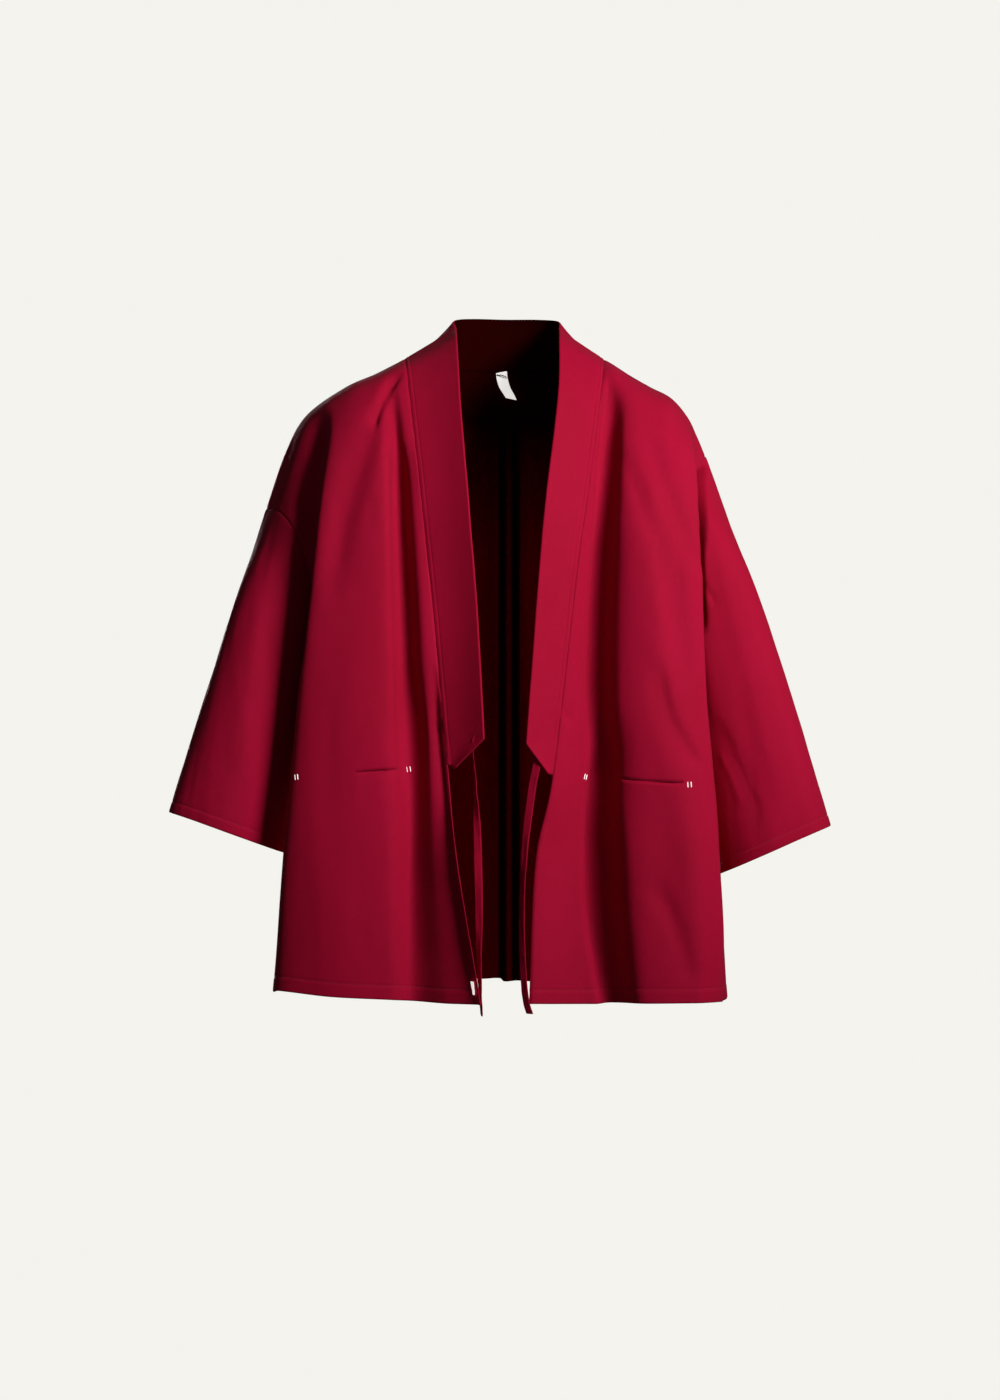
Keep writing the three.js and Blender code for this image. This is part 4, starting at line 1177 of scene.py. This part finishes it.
def trim_finish(name, base, shade, pitch, roughness, glow=0.0):
    """Woven tape or thread: a fine rib across, its low places painted darker as shade, with flecks of tone
    that differ at random.
    """
    finish = Finish(name, roughness, *TRIM_SHEEN)
    x, y, z = finish.place()
    rib = ((x + z) * (math.pi / pitch)).sine() * 0.5 + 0.5
    fleck = finish.noise(x * FLECK_SCALE, y * FLECK_SCALE, z * FLECK_SCALE, detail=3.0)
    # A glow above 0 is painted light: the part lights itself, though it is no lamp.
    finish.glow(base, glow)
    # The rib's low places take the shade colour as painted shade; the flecks darken and lighten at random.
    share = rib * TRIM_TONE["rib"] + fleck * TRIM_TONE["fleck"] - TRIM_TONE["less"]
    finish.colour(finish.mix(share.clamped(), shade, base))
    finish.bump(rib + fleck, TRIM_BUMP)
    return finish.material


def floor_finish(name, colour, glow_colour, glow):
    """Matt paint with a faint mottling, as pale as the studio round it."""
    finish = Finish(name, FLOOR_ROUGHNESS)
    x, y, z = finish.place()
    mottling = finish.noise(x * MOTTLING_SCALE, y * MOTTLING_SCALE, z * MOTTLING_SCALE, detail=4.0)
    darker = tuple(part * FLOOR_MOTTLING for part in colour)
    finish.colour(finish.mix(mottling, darker, colour))
    finish.glow(glow_colour, glow)
    return finish.material


def toward_viewer(v):
    """Vectors turned round where they point away from the viewer."""
    return np.where(v[:, 1:2] > 0, -v, v)


def tie_object(name, node, path, twist, front, seed):
    """A tie: starts behind the collar, between two of its own lines, then hangs along its path."""
    places = along(front["edge"], TIE_ROWS)
    at = [np.argmin(np.linalg.norm(collar_sheet.seam - place, axis=1)) for place in places]
    seam, free, out = collar_sheet.seam[at], collar_sheet.free[at], collar_sheet.out[at]
    behind = seam - out * (COLLAR_WALL - CLOTH_WALL / 2 + TIE_GAP)
    shares = TIE_SHARES if front is FRONT_LEFT else TIE_SHARES[::-1]
    first, second = (behind + (free - seam) * share for share in shares)
    run = along(path, np.linspace(0, len(path) - 1, (len(path) - 1) * TIE_STEPS + 1))
    half = np.array([TIE_WIDTH / 2, 0, 0])
    sewn = len(TIE_ROWS) - 1
    hung = sewn + np.linspace(0, len(run), int(TIE_FINENESS * len(run)) + 1)[1:]
    t = np.concatenate([np.linspace(0, sewn, TIE_SEWN_ROWS), hung])
    left = along(np.concatenate([first, run - half]), t)
    right = along(np.concatenate([second, run + half]), t)
    centre = (left + right) / 2
    down = np.gradient(centre, axis=0)
    wide = unit(right - left)
    facing = toward_viewer(unit(np.cross(down, wide)))
    arc = arc_length(centre)
    turned = np.radians(np.interp(arc, *zip(*twist)))[:, None]
    wide = unit(wide * np.cos(turned) + facing * np.sin(turned))
    facing = toward_viewer(unit(np.cross(down, wide)))
    noise = Noise(seed)

    def relief(u):
        across = u[None] * TIE_WAVES["across"] + TIE_WAVES["shift"]
        return TIE_WAVES["height"] * noise(arc[:, None] / TIE_WAVES["length"], across)

    ribbon(name, (centre, wide, facing), TIE_WIDTH, TIE_THICKNESS, CRIMSON, node, relief, TIE_FOLD)


def pocket_bag(name, panel, across, lines, node):
    """The bag behind a slit: the panel's own points, moved inwards by its thickness and a small gap."""
    i, j = (
        np.nonzero((values >= first) & (values <= last))[0][::POCKET_STEP]
        for values, (first, last) in ((across, lines), (DOWN, POCKET_ROWS))
    )
    take = np.ix_(i, j)
    points = panel.points[take] - panel.normals[take] * (PANEL_THICKNESS + POCKET_GAP)
    piece(name, Cloth(points, panel.sign, thickness=POCKET_THICKNESS, raised=0), node)


def neck_label():
    """The tape that hangs in the neck, and the two rows of dark stitches at its top."""
    label = along(LABEL_PATH, np.linspace(0, len(LABEL_PATH) - 1, LABEL_POINTS))
    turned = np.linspace(*LABEL_TURN, LABEL_POINTS)
    wide = unit(np.stack([np.ones(LABEL_POINTS), np.full(LABEL_POINTS, LABEL_SKEW), turned], -1))
    down = np.gradient(label, axis=0)
    out = unit(np.cross(wide, down))
    ribbon("neck_label_tape", (label, wide, out), LABEL_WIDTH, TAPE_THICKNESS, WHITE_PAINTED_GLOW, "neck_label")
    front = toward_viewer(out)
    arc = arc_length(label)
    runs = []
    for below, start in LABEL_STITCHES:
        across = np.arange(start - LABEL_STITCH_REACH, LABEL_STITCH_REACH, LABEL_STITCH_PITCH)
        at = np.searchsorted(arc, below + LABEL_STITCH_SLANT * (across + LABEL_STITCH_REACH))
        heading = unit(wide[at] + unit(down)[at] * LABEL_STITCH_SLANT)
        spot = label[at] + wide[at] * across[:, None] + front[at] * LABEL_STITCH_RISE
        runs.append((spot, heading, front[at]))
    threads("neck_label_stitches", runs, LABEL_STITCH, BLACK, seed=9)


def tie_tab(panel):
    """The small tapered tape at the left front's lower corner."""
    near, far = np.searchsorted(ACROSS_LEFT, TAB["lines"])
    row = np.searchsorted(DOWN, TAB["turn_row"])
    middle = (panel.points[near] + panel.points[far]) / 2
    normal = panel.normals[near, row]
    side = unit(panel.points[far, row] - panel.points[near, row])
    path = sample_line(middle, DOWN, np.linspace(*TAB["rows"], TAB["points"]))
    path = path + (side + normal) * TAB["shift"]
    line = path, np.tile(side, (TAB["points"], 1)), np.tile(normal, (TAB["points"], 1))
    widths = np.linspace(*TAB["widths"], TAB["points"])
    ribbon("tie_tab_tape", line, widths, TAPE_THICKNESS, WHITE_PAINTED_GLOW, "tie_tab")


def hem_stitches():
    """One row of stitches along each hem and round each cuff, where the turned-up cloth ends."""
    runs = []
    for panel in (left_front, right_front, back_sheet):
        line = level_line(panel, grid_length(panel.mid, 1, from_end=True), BODY_HEM)
        runs.append(stitch_run(*line, STITCH_PITCH, HEM_STITCH_START))
    for sleeve in (left_sleeve, right_sleeve):
        line = level_line(sleeve, grid_length(sleeve.mid, 1, from_end=True), CUFF_HEM)
        ring = (np.concatenate([part, part[:1]]) for part in line)
        runs.append(stitch_run(*ring, STITCH_PITCH, CUFF_STITCH_START))
    threads("hem_and_cuff_stitches", runs, HEM_STITCH, THREAD, seed=5)


def aim(thing, eye, target):
    """Puts a light or camera in the scene at eye, its -Z axis towards the target and +Y up."""
    bpy.context.scene.collection.objects.link(thing)
    thing.location = eye
    thing.rotation_euler = (Vector(target) - Vector(eye)).to_track_quat("-Z", "Y").to_euler()


def softbox(name, eye, target, size, energy):
    """A square soft light, narrowed by a grid so that it lights the garment and little else."""
    light = bpy.data.lights.new(name, "AREA")
    light.shape = "SQUARE"
    light.size = size
    light.energy = energy
    light.spread = math.radians(SOFTBOX_SPREAD)
    aim(bpy.data.objects.new(name, light), eye, target)


def studio_camera():
    """The photo's view: level with the garment's middle and straight in front of it."""
    camera = bpy.data.cameras.new("camera")
    camera.sensor_width, camera.lens = CAMERA["sensor"], CAMERA["lens"]
    thing = bpy.data.objects.new("camera", camera)
    aim(thing, CAMERA["eye"], CAMERA["target"])
    bpy.context.scene.camera = thing


def studio_world():
    """A cream backdrop as the camera sees it, which gives only a faint even light."""
    world = bpy.data.worlds.new("studio")
    bpy.context.scene.world = world
    world.use_nodes = True
    world.node_tree.nodes.clear()
    studio = Tree(world.node_tree)
    seen, ambient = (
        studio.node("ShaderNodeBackground", {0: (*colour, 1.0), 1: strength})[0]
        for colour, strength in (WORLD_SEEN, WORLD_AMBIENT)
    )
    camera_ray = studio.node("ShaderNodeLightPath", {})[0]
    choice = studio.node("ShaderNodeMixShader", {0: camera_ray, 1: ambient, 2: seen})[0]
    studio.node("ShaderNodeOutputWorld", {0: choice})


def studio_floor():
    """A round pale floor well below the hem, which throws no light of its own onto the garment."""
    turn = 2 * np.pi * np.arange(FLOOR_ROUND) / FLOOR_ROUND
    radii = np.array(FLOOR_RADII)[:, None]
    height = np.full((len(FLOOR_RADII), FLOOR_ROUND), FLOOR_HEIGHT)
    disc = np.stack([np.cos(turn)[None] * radii, np.sin(turn)[None] * radii, height], -1)
    faces = grid_faces(len(FLOOR_RADII), FLOOR_ROUND, wrap_j=True)
    floor = build("floor", disc, faces, floor_finish("floor_paint", *FLOOR_COLOURS, FLOOR_GLOW))
    floor.visible_diffuse = False
    floor.visible_glossy = False


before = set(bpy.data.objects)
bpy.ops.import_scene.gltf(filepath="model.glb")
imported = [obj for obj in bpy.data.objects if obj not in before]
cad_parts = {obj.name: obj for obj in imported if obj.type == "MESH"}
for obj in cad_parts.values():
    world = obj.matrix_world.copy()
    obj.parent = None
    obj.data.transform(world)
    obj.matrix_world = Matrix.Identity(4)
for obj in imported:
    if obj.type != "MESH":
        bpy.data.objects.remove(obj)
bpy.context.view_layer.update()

CRIMSON = cloth_finish(
    "crimson_cloth", dark=(0.34, 0.0002, 0.017), mid=(0.42, 0.0003, 0.026), light=(0.50, 0.0008, 0.04))
THREAD = trim_finish(
    "crimson_thread", (0.5, 0.012, 0.05), shade=(0.22, 0.004, 0.016), pitch=0.0009, roughness=0.7)
# White tape and bartack thread with a painted glow, a light of their own though they are no lamp.
WHITE_PAINTED_GLOW = trim_finish(
    "white_tape_painted_glow", (0.92, 0.9, 0.87), shade=(0.8, 0.77, 0.74), pitch=0.0011, roughness=0.8, glow=0.8)
# The inside's cloth carries painted shade: near black at the neck and in the back's two folds, lighter
# lower down.
PAINTED_SHADE_CLOTH = painted_shade_finish("painted_shade_crimson_cloth", deep=(0.022, 0.0, 0.0), full=(0.66, 0.0004, 0.022))
BLACK = trim_finish(
    "black_thread", (0.03, 0.03, 0.032), shade=(0.008, 0.008, 0.009), pitch=0.0009, roughness=0.6)

left_front = front_panel(FRONT_LEFT, ACROSS_LEFT, 1, CREASES_LEFT, SLITS["left"], seed=11)
right_front = front_panel(FRONT_RIGHT, ACROSS_RIGHT, -1, CREASES_RIGHT, SLITS["right"], seed=41)
back_sheet = back_cloth()
left_sleeve = sleeve_cloth(
    FRONT_LEFT, BACK_ARMHOLE_LEFT, SLEEVE_LEFT, CREASES_SLEEVE_LEFT, -1, seed=21)
right_sleeve = sleeve_cloth(
    FRONT_RIGHT, BACK_ARMHOLE_RIGHT, SLEEVE_RIGHT, CREASES_SLEEVE_RIGHT, 1, seed=61)
collar_sheet = collar_cloth()

piece("left_front_panel", left_front, "front_left")
piece("right_front_panel", right_front, "front_right")
# The back's inside face is in the cloth with painted shade.
piece("back_panel", back_sheet, "back", inner=PAINTED_SHADE_CLOTH)
piece("left_sleeve_tube", left_sleeve, "sleeve_left")
piece("right_sleeve_tube", right_sleeve, "sleeve_right")
collar_object(collar_sheet)
pocket_bag("left_pocket_bag", left_front, ACROSS_LEFT, (2, 5.5), "pocket_left")
pocket_bag("right_pocket_bag", right_front, ACROSS_RIGHT, (1, 5.5), "pocket_right")
tie_object("left_tie_strip", "tie_left", TIE_LEFT_PATH, TIE_LEFT_TWIST, FRONT_LEFT, seed=55)
tie_object("right_tie_strip", "tie_right", TIE_RIGHT_PATH, TIE_RIGHT_TWIST, FRONT_RIGHT, seed=56)
neck_label()
tie_tab(left_front)
hem_stitches()
panels = {"left": left_front, "right": right_front}
tacks = [bartack(panels[side], x, z, tilt) for side, x, z, tilt in BARTACKS]
threads("pocket_bartacks", tacks, BARTACK_THREAD, WHITE_PAINTED_GLOW, seed=8)

for light in SOFTBOXES:
    softbox(*light)
studio_camera()
bpy.context.scene.view_settings.view_transform = "Standard"
studio_world()
studio_floor()
